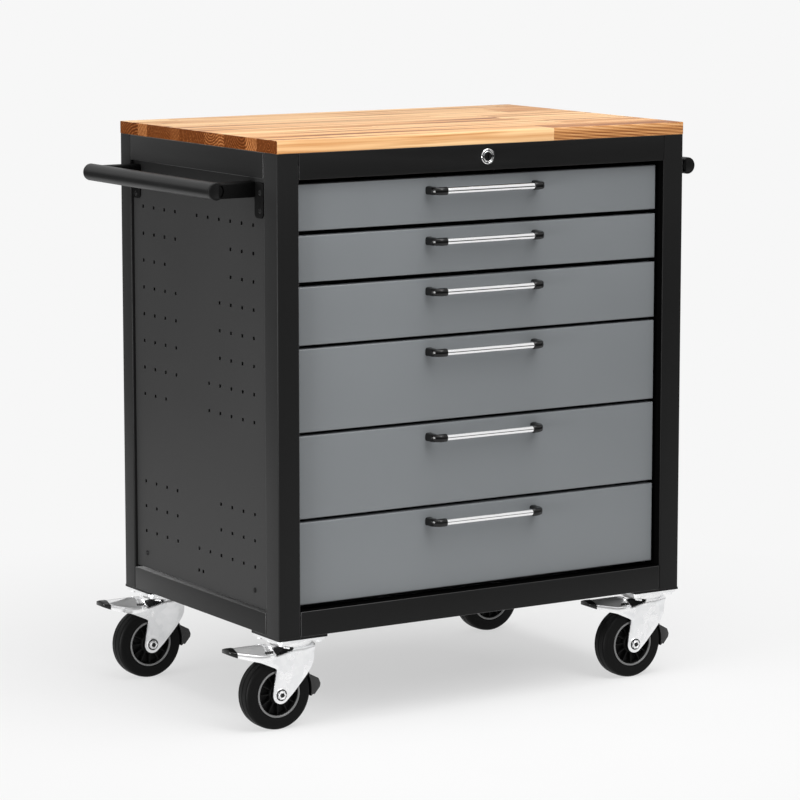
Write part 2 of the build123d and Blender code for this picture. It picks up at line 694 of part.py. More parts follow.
def rim(x, y):
    """Moulded rim, bored for the axle, with pockets between its ribs on both sides."""
    outer = TYRE_INNER_DIAMETER / 2
    body = rim_blank() - Cylinder(AXLE_DIAMETER / 2 + SLIP_FIT, TYRE_WIDTH)
    reach = (360 / RIB_COUNT - RIB_ANGLE) / 2
    corners = [(outer - RIM_LIP, turn) for turn in (-reach, -reach / 3, reach / 3, reach)]
    corners += [(HUB_DIAMETER / 2, reach), (HUB_DIAMETER / 2, -reach)]
    outline = [Vector(radius, 0).rotate(Axis.Z, turn) for radius, turn in corners]
    depth = (TYRE_WIDTH - RIM_WEB) / 2
    pocket = Pos(0, 0, RIM_WEB / 2) * extrude(make_face(Polyline(*outline, close=True)), depth)
    pockets = [Rot(0, 0, 360 * i / RIB_COUNT) * pocket for i in range(RIB_COUNT)]
    return wheel_place(x, y) * (body - pockets - [mirror(cut, about=Plane.XY) for cut in pockets])


def pedal(x, y):
    """Stamped brake pedal: a tongue that narrows to its tip, with skirts that hang on the fork's pins."""
    inner = FORK_OUTER_Y + PEDAL_SIDE_GAP
    outer = inner + PEDAL_SHEET
    pin_x, pin_z = pedal_pin()
    top = CROWN_TOP_Z
    plan = make_face(Polyline(
        (pin_x + PEDAL_EAR_RADIUS, -outer), (pin_x + PEDAL_EAR_RADIUS, outer),
        (-WING_REACH, outer), (-PEDAL_REACH, PEDAL_TIP_WIDTH / 2),
        (-PEDAL_REACH, -PEDAL_TIP_WIDTH / 2), (-WING_REACH, -outer), close=True,
    ))
    side = make_face(Polyline(
        (pin_x + PEDAL_EAR_RADIUS, pin_z - PEDAL_EAR_RADIUS), (pin_x + PEDAL_EAR_RADIUS, top),
        (-WING_REACH, top), (-PEDAL_REACH, top + PEDAL_TIP_RISE),
        (-PEDAL_REACH, top + PEDAL_TIP_RISE - PEDAL_TIP_SKIRT), (-WING_REACH, top - PEDAL_SKIRT),
        close=True,
    ))
    tall = extrude(plan, WHEEL_DIAMETER + PLATE_Z)
    body = tall & upright_plate(side, -outer, outer)
    hollow_plan = offset(plan, -PEDAL_SHEET, kind=Kind.INTERSECTION)
    hollow_side = Pos(0, -PEDAL_SHEET) * side
    hollow = extrude(hollow_plan, WHEEL_DIAMETER + PLATE_Z) & upright_plate(hollow_side, -outer, outer)
    hollow += block(
        (pin_x - PEDAL_EAR_RADIUS, -inner, pin_z - 2 * PEDAL_EAR_RADIUS),
        (pin_x + 2 * PEDAL_EAR_RADIUS, inner, top - PEDAL_SHEET),
    )
    body -= hollow
    body -= rod_y(PEDAL_PIN_DIAMETER / 2 + SLIP_FIT, -outer, outer, pin_x, pin_z)
    return Pos(x, y, 0) * body


def brake_block(x, y):
    """Moulded block behind the wheel, hung from the fork's crown by a strap along the tread."""
    half = TYRE_WIDTH / 2 - BLOCK_SIDE_GAP
    reach = WHEEL_RADIUS + BLOCK_TREAD_GAP
    near = reach - CASTER_TRAIL
    nose = near + BLOCK_NOSE
    foot = WHEEL_RADIUS - BLOCK_FOOT
    top = foot + BLOCK_HEIGHT
    strap_front = FORK_FRONT_REACH - STRAP_INSET
    strap_rear = strap_front - STRAP_WIDTH
    shoulder = CROWN_TOP_Z - FORK_SHOULDER_DROP
    side = make_face(Polyline(
        (strap_rear, CROWN_Z), (strap_front, CROWN_Z), (strap_front, shoulder),
        (near - STRAP_NECK, (shoulder + top) / 2), (near - STRAP_NECK / 2, top),
        (nose - BLOCK_SLOPE, top - BLOCK_TAPER), (nose, foot + BLOCK_HEIGHT / 2),
        (near + BLOCK_SLOPE, foot), (strap_rear, foot), close=True,
    ))
    plan = make_face(Polyline(
        (strap_rear, -half), (near, -half), (nose, BLOCK_SLOPE - half), (nose, half - BLOCK_SLOPE),
        (near, half), (strap_rear, half), close=True,
    ))
    body = upright_plate(side, -half, half) & extrude(plan, CROWN_Z)
    body -= rod_y(reach, -half, half, -CASTER_TRAIL, WHEEL_RADIUS)
    return Pos(x, y, 0) * body


def write(name, solids):
    """One STEP file for each named piece; a list holds the separate solids of one piece."""
    solids = list(solids) if isinstance(solids, (list, tuple)) else [solids]
    shape = solids[0] if len(solids) == 1 else Compound(children=solids)
    export_step(shape, f"parts/{name}.step")


def main():
    os.makedirs("parts", exist_ok=True)
    write("worktop", worktop())
    left, right = -SIDE_X + POST_WIDTH / 2, SIDE_X - POST_WIDTH / 2
    write("front_left_post", post(left, FRONT_Y, FRONT_POST_DEPTH))
    write("front_right_post", post(right, FRONT_Y, FRONT_POST_DEPTH))
    write("rear_left_post", post(left, REAR_POST_Y, REAR_POST_DEPTH))
    write("rear_right_post", post(right, REAR_POST_Y, REAR_POST_DEPTH))
    write("front_top_rail", lock_rail())
    write("front_bottom_rail", front_rail(FRAME_Z, BOTTOM_RAIL_HEIGHT))
    write("left_rails", side_rails())
    write("right_rails", [mirror(piece, about=Plane.YZ) for piece in side_rails()])
    for name, panel in zip(("left_side_panel", "right_side_panel"), both_sides(side_panel())):
        write(name, panel)
    write("back_panel", back_panel())
    write("base_panel", base_panel())
    drawers = range(len(FRONT_HEIGHTS))
    write("runner_channels", [side for n in drawers for side in both_sides(runner_channel(n))])
    for n in drawers:
        write(f"drawer_{n + 1}", drawer(n))
        write(f"drawer_{n + 1}_handle_bar", handle_bar(n))
        write(f"drawer_{n + 1}_handle_ends", handle_ends(n))
    write("lock_housing", lock_housing())
    write("lock_plug", lock_plug())
    write("lock_bar", lock_bar())
    write("left_handle_tube", push_tube())
    write("right_handle_tube", [mirror(piece, about=Plane.YZ) for piece in push_tube()])
    write("handle_arms", [side for arm in push_arms() for side in both_sides(arm)])
    places = caster_places()
    write("caster_gussets", [gusset(*place) for place in places.values()])
    write("caster_plates", [caster_plate(*place) for place in places.values()])
    for corner, place in places.items():
        write(f"{corner}_fork", fork(*place))
        write(f"{corner}_tyre", tyre(*place))
        write(f"{corner}_rim", rim(*place))
        write(f"{corner}_pedal", pedal(*place))
        write(f"{corner}_brake_block", brake_block(*place))


main()
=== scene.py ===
import json
from math import acos, copysign, cos, pi, radians, sin, sqrt, tan

import bmesh
import bpy
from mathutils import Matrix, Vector


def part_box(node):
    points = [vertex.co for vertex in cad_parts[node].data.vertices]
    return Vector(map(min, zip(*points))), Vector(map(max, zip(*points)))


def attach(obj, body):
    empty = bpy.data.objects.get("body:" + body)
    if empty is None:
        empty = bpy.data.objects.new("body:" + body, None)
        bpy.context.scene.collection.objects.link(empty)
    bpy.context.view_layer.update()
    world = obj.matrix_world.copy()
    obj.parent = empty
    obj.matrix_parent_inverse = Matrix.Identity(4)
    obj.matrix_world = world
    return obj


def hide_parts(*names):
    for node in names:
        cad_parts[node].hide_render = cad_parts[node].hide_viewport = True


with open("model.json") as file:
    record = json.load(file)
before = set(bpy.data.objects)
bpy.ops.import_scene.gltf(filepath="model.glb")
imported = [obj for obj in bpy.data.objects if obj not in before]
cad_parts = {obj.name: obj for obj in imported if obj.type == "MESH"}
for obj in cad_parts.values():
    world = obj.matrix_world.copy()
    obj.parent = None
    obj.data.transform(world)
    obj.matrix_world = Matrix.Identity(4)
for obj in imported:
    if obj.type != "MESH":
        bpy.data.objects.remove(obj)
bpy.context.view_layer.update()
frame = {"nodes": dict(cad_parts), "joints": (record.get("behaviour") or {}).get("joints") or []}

# Shapes are drawn in millimetres and scaled to metres when a piece is finished.
MM = 0.001
CORNERS = ("front_left", "front_right", "rear_left", "rear_right")
DRAWERS = range(1, 7)


def corners_mm(name):
    """Lowest and highest corner of a CAD node in millimetres."""
    low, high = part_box(name)
    return low / MM, high / MM


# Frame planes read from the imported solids
FRONT_Y = corners_mm("front_left_post")[0].y
BACK_Y = corners_mm("rear_left_post")[1].y
PANEL_X = corners_mm("right_side_panel")[1].x
BOARD_LOW, BOARD_HIGH = corners_mm("worktop")

FOLD_ROUND = 0.9
BOARD_ROUND = 1.4
# A face is an end of the board, or a face towards the drawer opening that takes painted shade, if its normal lies
# this near to that direction.
END_NEARNESS = 0.7
PAINTED_SHADE_NEARNESS = 0.9
# A rounded corner takes at most this share of the shorter edge beside it.
CORNER_SHARE = 0.48

# Lock: the bezel's face as (radius, depth behind its foremost plane), from the flange over the groove to the bore
LOCK_BORE = 7.55
LOCK_BARREL = 10
LOCK_FLANGE = 13.5
BEZEL_FACE = (
    (LOCK_FLANGE, 1.3), (13.2, 0.6), (12.6, 0.15), (11.9, 0), (10.9, 0.1), (10.5, 0.5), (10.4, 1.5), (9.6, 1.5),
    (9.5, 0.4), (9.1, 0), (8.1, 0), (7.7, 0.3), (LOCK_BORE, 0.8),
)
# A black ring in the bottom of the bezel's groove, as (radius, depth): painted shade in the groove.
LOCK_GROOVE_SHADE = ((9.6, 0.9), (10.4, 0.9), (10.4, 1.5), (9.6, 1.5), (9.6, 0.9))

# Push handles: the tube's end cap is given as (drop below the tube's radius, depth from its end)
CAP_DISH = 0.6
TUBE_CAP = ((5, 0.5), (3.5, 0), (1.2, 0), (0.3, 0.4), (0, 1.3), (0, 3.6), (0.5, 4), (0, 4.4))
ARM_WIDTH = 28
ARM_HALF = 13
ARM_ROUND = 3
ARM_OVERLAP = 4
REAR_ARM = 46
FOOT_REACH = 25.5
FOOT_DROP = 47
FOOT_SHEET = 3
FOOT_CORNERS = (8, 8, 2, 2)
FOOT_EDGE = 0.7

# Screws: place along the foot and heights from the tube's axis, then the panel's lower corners
SCREW_SEAT = FOOT_SHEET + 0.2
FRONT_FOOT_SCREWS = (9, (-34, -4))
REAR_FOOT_SCREWS = (14, (-39, -22))
PANEL_SCREW_SEAT = 0.3
PANEL_SCREW_RISE = 69
PANEL_SCREW_PLACES = (92, 478)

# Drawers
FRONT_DEPTH = 18
FRONT_EDGE = 2.4
FRONT_GAP = 5.9
FRONT_FOLD = 1.5
SHEET = 1.2
BOX_RISE = 6
BOX_TOP_DROP = 18
TRAY_FOLD = 0.8
LIP_DROP = 0.5
LIP_SIDE = 0.3
LIP_EASE = 0.1
TAB_LENGTH = 19
TAB_WIDTH = 30
TAB_THICKNESS = 2
TAB_SLOT = (12, 7)
TAB_SLOT_REAR = 3
RAIL_WALL = 1.5
RAIL_RISE = 10
RAIL_HEIGHT = 26
RAIL_DEPTH = 10
RAIL_ROUND = 0.35

# Drawer handles: the grip's end as (drop below its radius, place from its shoulder)
GRIP_TENON = 6
GRIP_END = ((1.6, -GRIP_TENON), (1.2, 0), (0.4, 0), (0, 0.5))
ELBOW_BEND = 9
ELBOW_STEPS = 6
ELBOW_POINTS = 24
ELBOW_WAIST = 0.5
SOCKET_DEPTH = 1.2
# Lip of the elbow round the grip as (place, drop), and its foot as (height over the drawer front, growth)
ELBOW_LIP = ((0, 0.7), (0.25, 0.2), (0.9, 0))
ELBOW_FOOT = ((2.2, 0), (0.4, 0.5), (0, 0.5))
# Section of the elbow: a power of 2 is round, and a higher one squarer
GRIP_POWER = 2.4
FOOT_POWER = 3.6

# Casters, measured from the swivel axis and the floor
WHEEL_RADIUS = 62.5
TRAIL = 31
RIB_COUNT = 12
CROWN_TOP = 145
FORK_HALF = 25
FORK_SHEET = 3
FORK_BEND = 9
FORK_ACROSS = 7
FORK_EDGE = 0.7
BOSS_RADIUS = 15.5
BOSS_LEAST = 0.2
PLATE_THICKNESS = 4
PLATE_BOLT_REACH = 36

# Rolled front edge of the fork's legs: where it starts, how far and deep it goes, and where it fades to the crown
LEG_ROLL_START = 16
LEG_ROLL_REACH = 21
LEG_ROLL_DEPTH = 5.0
LEG_ROLL_TOP = 140
LEG_ROLL_FADE = 12

# Brake pedal: root and tip along the caster, and the shares of that length that the steel and the moulded tip take
PEDAL_SHEET = 2.2
PEDAL_FOLD = 2.5
PEDAL_ROOT = -42.0
PEDAL_TIP = -124.0
PEDAL_PIVOT = (-49, 133)
TONGUE_END = 0.965
TIP_START = 0.84
TIP_GROWTH = 0.7
TIP_EDGE = 0.8
RIDGE_START = (-62, -27.4, 139.4)

# Brake block: gap to the tread, width, the heights that it spans, and how its nose narrows
SHOE_GAP = 2
SHOE_HALF = 17
SHOE_TOP = 106
SHOE_SPAN = 55
SHOE_STEPS = 10
SHOE_EDGE = 1.6
NOSE_START = 33.5
NOSE_REACH = 21
NOSE_TAPER = 0.32


# Mesh helpers

def soften(bm, width, segments=2, least=35):
    """Round the edges whose faces meet at more than an angle, and return the new faces."""
    bmesh.ops.remove_doubles(bm, verts=bm.verts, dist=1e-3)
    bmesh.ops.recalc_face_normals(bm, faces=bm.faces)
    sharp = [e for e in bm.edges if len(e.link_faces) == 2 and e.calc_face_angle() > radians(least)]
    return bmesh.ops.bevel(
        bm, geom=sharp, offset=width, offset_type="OFFSET", segments=segments, profile=0.5, affect="EDGES",
        clamp_overlap=True,
    )["faces"]


def place_on(axis, a, b, c):
    """A point whose third coordinate runs along the named axis."""
    return {"x": (c, a, b), "y": (a, c, b), "z": (a, b, c)}[axis]


def rectangle(a0, b0, a1, b1):
    """The corners of a rectangle in order."""
    return [(a0, b0), (a1, b0), (a1, b1), (a0, b1)]


def prism(bm, outline, axis, start, end):
    """A closed outline drawn out along one axis."""
    low = [bm.verts.new(place_on(axis, a, b, start)) for a, b in outline]
    high = [bm.verts.new(place_on(axis, a, b, end)) for a, b in outline]
    bm.faces.new(low[::-1])
    bm.faces.new(high)
    for i in range(len(outline)):
        j = (i + 1) % len(outline)
        bm.faces.new((low[i], low[j], high[j], high[i]))
    return low + high


def block(bm, low, high):
    """A box between two corners."""
    return prism(bm, rectangle(low[0], low[1], high[0], high[1]), "z", low[2], high[2])


def rounded(points, radii, steps=4):
    """An outline with its corners rounded, by one radius or one for each corner."""
    count = len(points)
    radii = radii if isinstance(radii, (list, tuple)) else [radii] * count
    made = []
    for i, (corner, radius) in enumerate(zip(points, radii)):
        if not radius:
            made.append(tuple(corner))
            continue
        p = Vector(corner)
        back, ahead = Vector(points[i - 1]) - p, Vector(points[(i + 1) % count]) - p
        reach = min(back.length, ahead.length) * CORNER_SHARE
        back.normalize()
        ahead.normalize()
        half = acos(max(-1, min(1, back.dot(ahead)))) / 2
        radius = min(radius, reach * tan(half))
        centre = p + (back + ahead).normalized() * radius / sin(half)
        first = p + back * radius / tan(half) - centre
        last = p + ahead * radius / tan(half) - centre
        for k in range(steps + 1):
            spoke = first.lerp(last, k / steps).normalized() * radius
            made.append(tuple(centre + spoke))
    return made


def lathe(bm, profile, centre, axis, segments=48):
    """A profile of (radius, place along the axis) turned round an axis."""
    cx, cy, cz = centre
    rings = []
    for radius, along in profile:
        steps = segments if radius > 0 else 1
        ring = []
        for i in range(steps):
            turn = 2 * pi * i / segments
            a, b = radius * cos(turn), radius * sin(turn)
            x, y, z = place_on(axis, a, b, along)
            ring.append(bm.verts.new((cx + x, cy + y, cz + z)))
        rings.append(ring)
    for inner, outer in zip(rings, rings[1:]):
        for i in range(segments):
            j = (i + 1) % segments
            loop = [inner[i % len(inner)], inner[j % len(inner)], outer[j % len(outer)], outer[i % len(outer)]]
            loop = list(dict.fromkeys(loop))
            if len(loop) > 2:
                bm.faces.new(loop)


def lathe_pair(bm, profile, centre, segments):
    """A profile turned round an axle along Y, and the same mirrored to the other side of its middle."""
    for way in (-1, 1):
        lathe(bm, [(radius, way * along) for radius, along in profile], centre, "y", segments)


def both_halves(half):
    """A half profile and its mirror image, without doubling a point in the middle."""
    return list(half) + [(radius, -along) for radius, along in reversed(half) if along]


def skin(bm, loops, closed_rows=True, ends=True, wrap=False):
    """Faces between loops of as many points each; the first and last are closed with a face or joined."""
    rows = [[bm.verts.new(point) for point in loop] for loop in loops]
    pairs = list(zip(rows, rows[1:])) + ([(rows[-1], rows[0])] if wrap else [])
    n = len(rows[0])
    for a, b in pairs:
        for i in range(n if closed_rows else n - 1):
            j = (i + 1) % n
            bm.faces.new((a[i], a[j], b[j], b[i]))
    if ends and not wrap:
        bm.faces.new(rows[0][::-1])
        bm.faces.new(rows[-1])
    return rows


def folded_pan(bm, low, high, axis, rings):
    """Rectangle loops (inset, place along the axis) that make a sheet pan with walls."""
    loops = []
    for inset, along in rings:
        loop = rectangle(low[0] + inset, low[1] + inset, high[0] - inset, high[1] - inset)
        loops.append([place_on(axis, a, b, along) for a, b in loop])
    skin(bm, loops)


def shade(mesh, angle=38):
    """Smooth shading with sharp edges above an angle."""
    mesh.shade_smooth()
    mesh.set_sharp_from_angle(angle=radians(angle))


def settle(made, body, replaced=()):
    """Tie a finished object to its body and hide the CAD nodes that it stands for."""
    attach(made, body)
    if replaced:
        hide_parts(*replaced)
    return made


def piece(name, bm, materials, body, replaced=(), angle=38):
    """Finish a mesh as an object in metres."""
    bmesh.ops.remove_doubles(bm, verts=bm.verts, dist=1e-3)
    bmesh.ops.recalc_face_normals(bm, faces=bm.faces)
    bmesh.ops.scale(bm, vec=(MM, MM, MM), verts=bm.verts)
    mesh = bpy.data.meshes.new(name)
    bm.to_mesh(mesh)
    bm.free()
    for material in materials if isinstance(materials, (list, tuple)) else [materials]:
        mesh.materials.append(material)
    shade(mesh, angle)
    made = bpy.data.objects.new(name, mesh)
    bpy.context.scene.collection.objects.link(made)
    return settle(made, body, replaced)


# Node helpers

def node(tree, kind, inputs=None, **settings):
    """A node with its settings, its values and its links."""
    made = tree.nodes.new(kind)
    for key, value in settings.items():
        setattr(made, key, value)
    for key, value in (inputs or {}).items():
        if isinstance(value, bpy.types.NodeSocket):
            tree.links.new(value, made.inputs[key])
        else:
            made.inputs[key].default_value = value
    return made


def maths(tree, operation, a, b=0.0, clamp=False):
    """One operation on two values."""
    return node(tree, "ShaderNodeMath", {0: a, 1: b}, operation=operation, use_clamp=clamp).outputs[0]


def times(tree, a, b):
    """The product of two values."""
    return maths(tree, "MULTIPLY", a, b)


def plus(tree, a, b, clamp=False):
    """Two values added."""
    return maths(tree, "ADD", a, b, clamp)


def minus(tree, a, b):
    """The second value taken from the first."""
    return maths(tree, "SUBTRACT", a, b)


def weighed(tree, *parts):
    """Values added up, each times its share."""
    total = None
    for value, share in parts:
        part = times(tree, value, share)
        total = part if total is None else plus(tree, total, part)
    return total


def blended(tree, share, a, b, mode="MIX"):
    """Two colours mixed by a share."""
    made = node(tree, "ShaderNodeMix", {0: share, 6: a, 7: b}, data_type="RGBA", blend_type=mode)
    return made.outputs[2]


def ranged(tree, value, low, high, to_low=0.0, to_high=1.0):
    """A value taken from one range to another and kept inside it."""
    inputs = {0: value, 1: low, 2: high, 3: to_low, 4: to_high}
    return node(tree, "ShaderNodeMapRange", inputs).outputs[0]


def stretched(tree, vector, scale):
    """Coordinates times a scale for each axis."""
    return node(tree, "ShaderNodeVectorMath", {0: vector, 1: scale}, operation="MULTIPLY").outputs[0]


def moved(tree, vector, by):
    """Coordinates moved by a vector."""
    return node(tree, "ShaderNodeVectorMath", {0: vector, 1: by}, operation="ADD").outputs[0]


def noise(tree, vector, scale, detail=2.0, distortion=0.0):
    """Soft noise between 0 and 1."""
    inputs = {"Vector": vector, "Scale": scale, "Detail": detail, "Distortion": distortion}
    return node(tree, "ShaderNodeTexNoise", inputs).outputs["Fac"]


def group_tree(name, kind, inputs, outputs):
    """An empty node group with named sockets, its input node and its output node."""
    tree = bpy.data.node_groups.new(name, kind)
    for label, socket, value in inputs:
        made = tree.interface.new_socket(label, in_out="INPUT", socket_type=socket)
        if value is not None:
            made.default_value = value
    for label, socket in outputs:
        tree.interface.new_socket(label, in_out="OUTPUT", socket_type=socket)
    return tree, tree.nodes.new("NodeGroupInput"), tree.nodes.new("NodeGroupOutput")


COLOUR, FLOAT, VECTOR = "NodeSocketColor", "NodeSocketFloat", "NodeSocketVector"
SURFACE_OUTPUTS = (("Colour", COLOUR), ("Roughness", FLOAT), ("Height", FLOAT))


def wire_out(tree, out, colour, roughness, height):
    """Link a surface effect's results to its output node."""
    for label, value in (("Colour", colour), ("Roughness", roughness), ("Height", height)):
        tree.links.new(value, out.inputs[label])


# Shared surface effects

def grained_surface():
    """Fine even grain with soft clouds: powder coat, moulded plastic and rubber."""
    tree, given, out = group_tree("grained_surface", "ShaderNodeTree", (
        ("Colour", COLOUR, (0.1, 0.1, 0.1, 1)), ("Mottle", FLOAT, 0.1), ("Grain", FLOAT, 900.0),
        ("Cloud", FLOAT, 5.0), ("Roughness", FLOAT, 0.4), ("Spread", FLOAT, 0.1),
    ), SURFACE_OUTPUTS)
    place = node(tree, "ShaderNodeTexCoord").outputs["Object"]
    fine = noise(tree, place, given.outputs["Grain"], 2.0)
    cloud = noise(tree, place, given.outputs["Cloud"], 3.0, 0.4)
    swing = minus(tree, weighed(tree, (fine, 0.5), (cloud, 0.5)), 0.5)
    level = plus(tree, times(tree, times(tree, swing, given.outputs["Mottle"]), 4.0), 1.0)
    colour = blended(tree, 1.0, given.outputs["Colour"], level, "MULTIPLY")
    sway = times(tree, times(tree, swing, given.outputs["Spread"]), 3.0)
    roughness = plus(tree, given.outputs["Roughness"], sway, True)
    wire_out(tree, out, colour, roughness, fine)
    return tree


def plated_surface():
    """Bright plating with faint crystal spangle, clouds and drawn lines."""
    tree, given, out = group_tree("plated_surface", "ShaderNodeTree", (
        ("Colour", COLOUR, (0.8, 0.8, 0.8, 1)), ("Shade", COLOUR, (0.5, 0.5, 0.5, 1)), ("Spangle", FLOAT, 180.0),
        ("Cloud", FLOAT, 22.0), ("Roughness", FLOAT, 0.2), ("Spread", FLOAT, 0.1),
    ), SURFACE_OUTPUTS)
    place = node(tree, "ShaderNodeTexCoord").outputs["Object"]
    cells = node(tree, "ShaderNodeTexVoronoi", {"Vector": place, "Scale": given.outputs["Spangle"]})
    cell_tone = node(tree, "ShaderNodeSeparateColor", {0: cells.outputs["Color"]}).outputs[0]
    cloud = noise(tree, place, given.outputs["Cloud"], 4.0, 0.6)
    lines = noise(tree, stretched(tree, place, (60.0, 60.0, 900.0)), 1.0, 1.0)
    share = ranged(tree, weighed(tree, (cell_tone, 0.3), (cloud, 0.7)), 0.3, 0.8)
    colour = blended(tree, share, given.outputs["Colour"], given.outputs["Shade"])
    sway = times(tree, share, given.outputs["Spread"])
    roughness = plus(tree, given.outputs["Roughness"], sway, True)
    height = weighed(tree, (cloud, 0.6), (lines, 0.4))
    wire_out(tree, out, colour, roughness, height)
    return tree


# Glued staves of the board from front to rear: start as a share of its depth, and tone
STAVES = (
    (0.0, 0.9), (0.12, 0.1), (0.186, 0.85), (0.317, 0.3), (0.367, 0.5), (0.44, 0.87), (0.605, 0.55), (0.663, 0.82),
    (0.816, 0.08), (0.877, 0.78),
)
STAVE_LENGTH = 0.6925
# The end joints of a row are moved by an offset, and by its tone times a stagger.
STAVE_OFFSET = 3.0
STAVE_STAGGER = 1.9
BOARD_DEPTH = (BACK_Y - FRONT_Y) * MM
# The dark stave at the front right: it starts at the seventh joint of the foremost row, the one of the highest tone.
HEART_START = 7 * STAVE_LENGTH - STAVE_OFFSET - STAVE_STAGGER * STAVES[0][1]
HEART_TONE = 0.88


def beech_grain():
    """Solid wood of glued staves: growth rings round a pith beside each stave, streaks and fibre along it."""
    tree, given, out = group_tree("beech_grain", "ShaderNodeTree", (
        ("Light", COLOUR, (0.8, 0.5, 0.25, 1)), ("Middle", COLOUR, (0.6, 0.3, 0.15, 1)),
        ("Dark", COLOUR, (0.4, 0.2, 0.1, 1)), ("End Grain", FLOAT, 0.0),
    ), SURFACE_OUTPUTS)
    place = node(tree, "ShaderNodeTexCoord").outputs["Object"]
    xyz = node(tree, "ShaderNodeSeparateXYZ", {0: place})
    across = ranged(tree, xyz.outputs["Y"], FRONT_Y * MM, BACK_Y * MM)
    ramp = node(tree, "ShaderNodeValToRGB", {0: across})
    ramp.color_ramp.interpolation = "CONSTANT"
    stops = ramp.color_ramp.elements
    while len(stops) < len(STAVES):
        stops.new(0.5)
    for stop, (start, tone) in zip(stops, STAVES):
        stop.position = start
    for stop, (start, tone) in zip(stops, STAVES):
        stop.color = (tone, start, 0.0, 1.0)
    stave = node(tree, "ShaderNodeSeparateColor", {0: ramp.outputs["Color"]})
    tone = stave.outputs[0]
    along = plus(tree, plus(tree, xyz.outputs["X"], STAVE_OFFSET), times(tree, tone, STAVE_STAGGER))
    number = maths(tree, "FLOOR", maths(tree, "DIVIDE", along, STAVE_LENGTH))
    key = node(tree, "ShaderNodeCombineXYZ", {0: times(tree, tone, 53.0), 1: number, 2: 4.0})
    draw = node(tree, "ShaderNodeTexWhiteNoise", {"Vector": key.outputs[0]}, noise_dimensions="3D")
    drawn = node(tree, "ShaderNodeSeparateColor", {0: draw.outputs["Color"]})
    shift = stretched(tree, draw.outputs["Color"], (7.0, 7.0, 7.0))

    def streaks(lengthwise, crosswise, detail, distortion=0.0):
        """Noise drawn out along the staves, from another place in each."""
        drawn_out = stretched(tree, place, (lengthwise, crosswise, crosswise))
        return noise(tree, moved(tree, drawn_out, shift), 1.0, detail, distortion)

    # Growth rings
    warp = streaks(2.6, 14.0, 2.0)
    inside = times(tree, minus(tree, across, stave.outputs[1]), BOARD_DEPTH)
    lean = times(tree, xyz.outputs["X"], minus(tree, drawn.outputs[2], 0.5))
    pith_y = minus(tree, ranged(tree, drawn.outputs[0], 0.0, 1.0, -0.02, 0.09), times(tree, lean, 0.12))
    pith_z = ranged(tree, drawn.outputs[1], 0.0, 1.0, 0.93, 1.05)
    dy, dz = minus(tree, inside, pith_y), minus(tree, xyz.outputs["Z"], pith_z)
    radius = maths(tree, "SQRT", plus(tree, times(tree, dy, dy), times(tree, dz, dz)))
    pitch = ranged(tree, given.outputs["End Grain"], 0.0, 1.0, 2300.0, 1250.0)
    ripple = weighed(tree, (radius, pitch), (warp, 20.0))
    rings = ranged(tree, maths(tree, "SINE", ripple), -1.0, 1.0)

    # Streaks, from broad bands to fibre
    band = ranged(tree, streaks(1.6, 28.0, 2.0, 0.4), 0.42, 0.64)
    line = ranged(tree, streaks(2.0, 150.0, 3.0, 0.3), 0.42, 0.70)
    bold = ranged(tree, streaks(1.5, 58.0, 1.0, 0.8), 0.56, 0.66)
    fibre = streaks(9.0, 420.0, 3.0)
    pores = noise(tree, place, 330.0, 3.0)
    heart_row = maths(tree, "GREATER_THAN", tone, HEART_TONE)
    heart = times(tree, heart_row, maths(tree, "GREATER_THAN", xyz.outputs["X"], HEART_START))

    # Darkness along the grain and on the ends
    ring_share = plus(tree, times(tree, heart, 0.20), 0.14)
    long_value = weighed(
        tree, (band, 0.34), (rings, ring_share), (line, 0.40), (fibre, 0.16), (bold, 0.62), (heart, 0.46)
    )
    long_value = plus(tree, long_value, ranged(tree, drawn.outputs[2], 0.0, 1.0, -0.24, 0.02))
    end_value = weighed(tree, (tone, 0.54), (rings, 0.60))
    end_value = plus(tree, end_value, ranged(tree, pores, 0.3, 0.7, -0.26, 0.26))
    share = node(tree, "ShaderNodeMix", {0: given.outputs["End Grain"], 2: long_value, 3: end_value})
    share = ranged(tree, share.outputs[0], 0.05, 0.95)
    colour = blended(tree, ranged(tree, share, 0.0, 0.5), given.outputs["Light"], given.outputs["Middle"])
    colour = blended(tree, ranged(tree, share, 0.5, 1.0), colour, given.outputs["Dark"])
    roughness = ranged(tree, fibre, 0.2, 0.8, 0.36, 0.52)
    height = weighed(tree, (fibre, 0.7), (rings, 0.3))
    wire_out(tree, out, colour, roughness, height)
    return tree


GRAINED, PLATED, BEECH = grained_surface(), plated_surface(), beech_grain()


def finish_material(name, group, values, shader, bump):
    """A material whose colour, roughness and bump come from a shared surface effect."""
    material = bpy.data.materials.new(name)
    material.use_nodes = True
    tree = material.node_tree
    tree.nodes.clear()
    surface = node(tree, "ShaderNodeGroup", node_tree=group)
    for label, value in values.items():
        surface.inputs[label].default_value = value
    strength, distance = bump
    relief = node(tree, "ShaderNodeBump", {
        "Height": surface.outputs["Height"], "Strength": strength, "Distance": distance,
    })
    inputs = {
        "Base Color": surface.outputs["Colour"], "Roughness": surface.outputs["Roughness"],
        "Normal": relief.outputs["Normal"], **shader,
    }
    principled = node(tree, "ShaderNodeBsdfPrincipled", inputs)
    output = node(tree, "ShaderNodeOutputMaterial")
    tree.links.new(principled.outputs[0], output.inputs["Surface"])
    return material


def grey(level, blue=1.0):
    """A grey, with its blue raised or lowered."""
    return (level, level, level * blue, 1.0)


def gloss(level):
    """How strongly a coated finish mirrors; 0.5 is usual."""
    return {"Specular IOR Level": level}


def coated(name, colour, mottle, grain, cloud, roughness, spread, bump, **shader):
    """A painted, moulded or rubber finish."""
    values = {
        "Colour": colour, "Mottle": mottle, "Grain": grain, "Cloud": cloud, "Roughness": roughness, "Spread": spread
    }
    return finish_material(name, GRAINED, values, shader, bump)


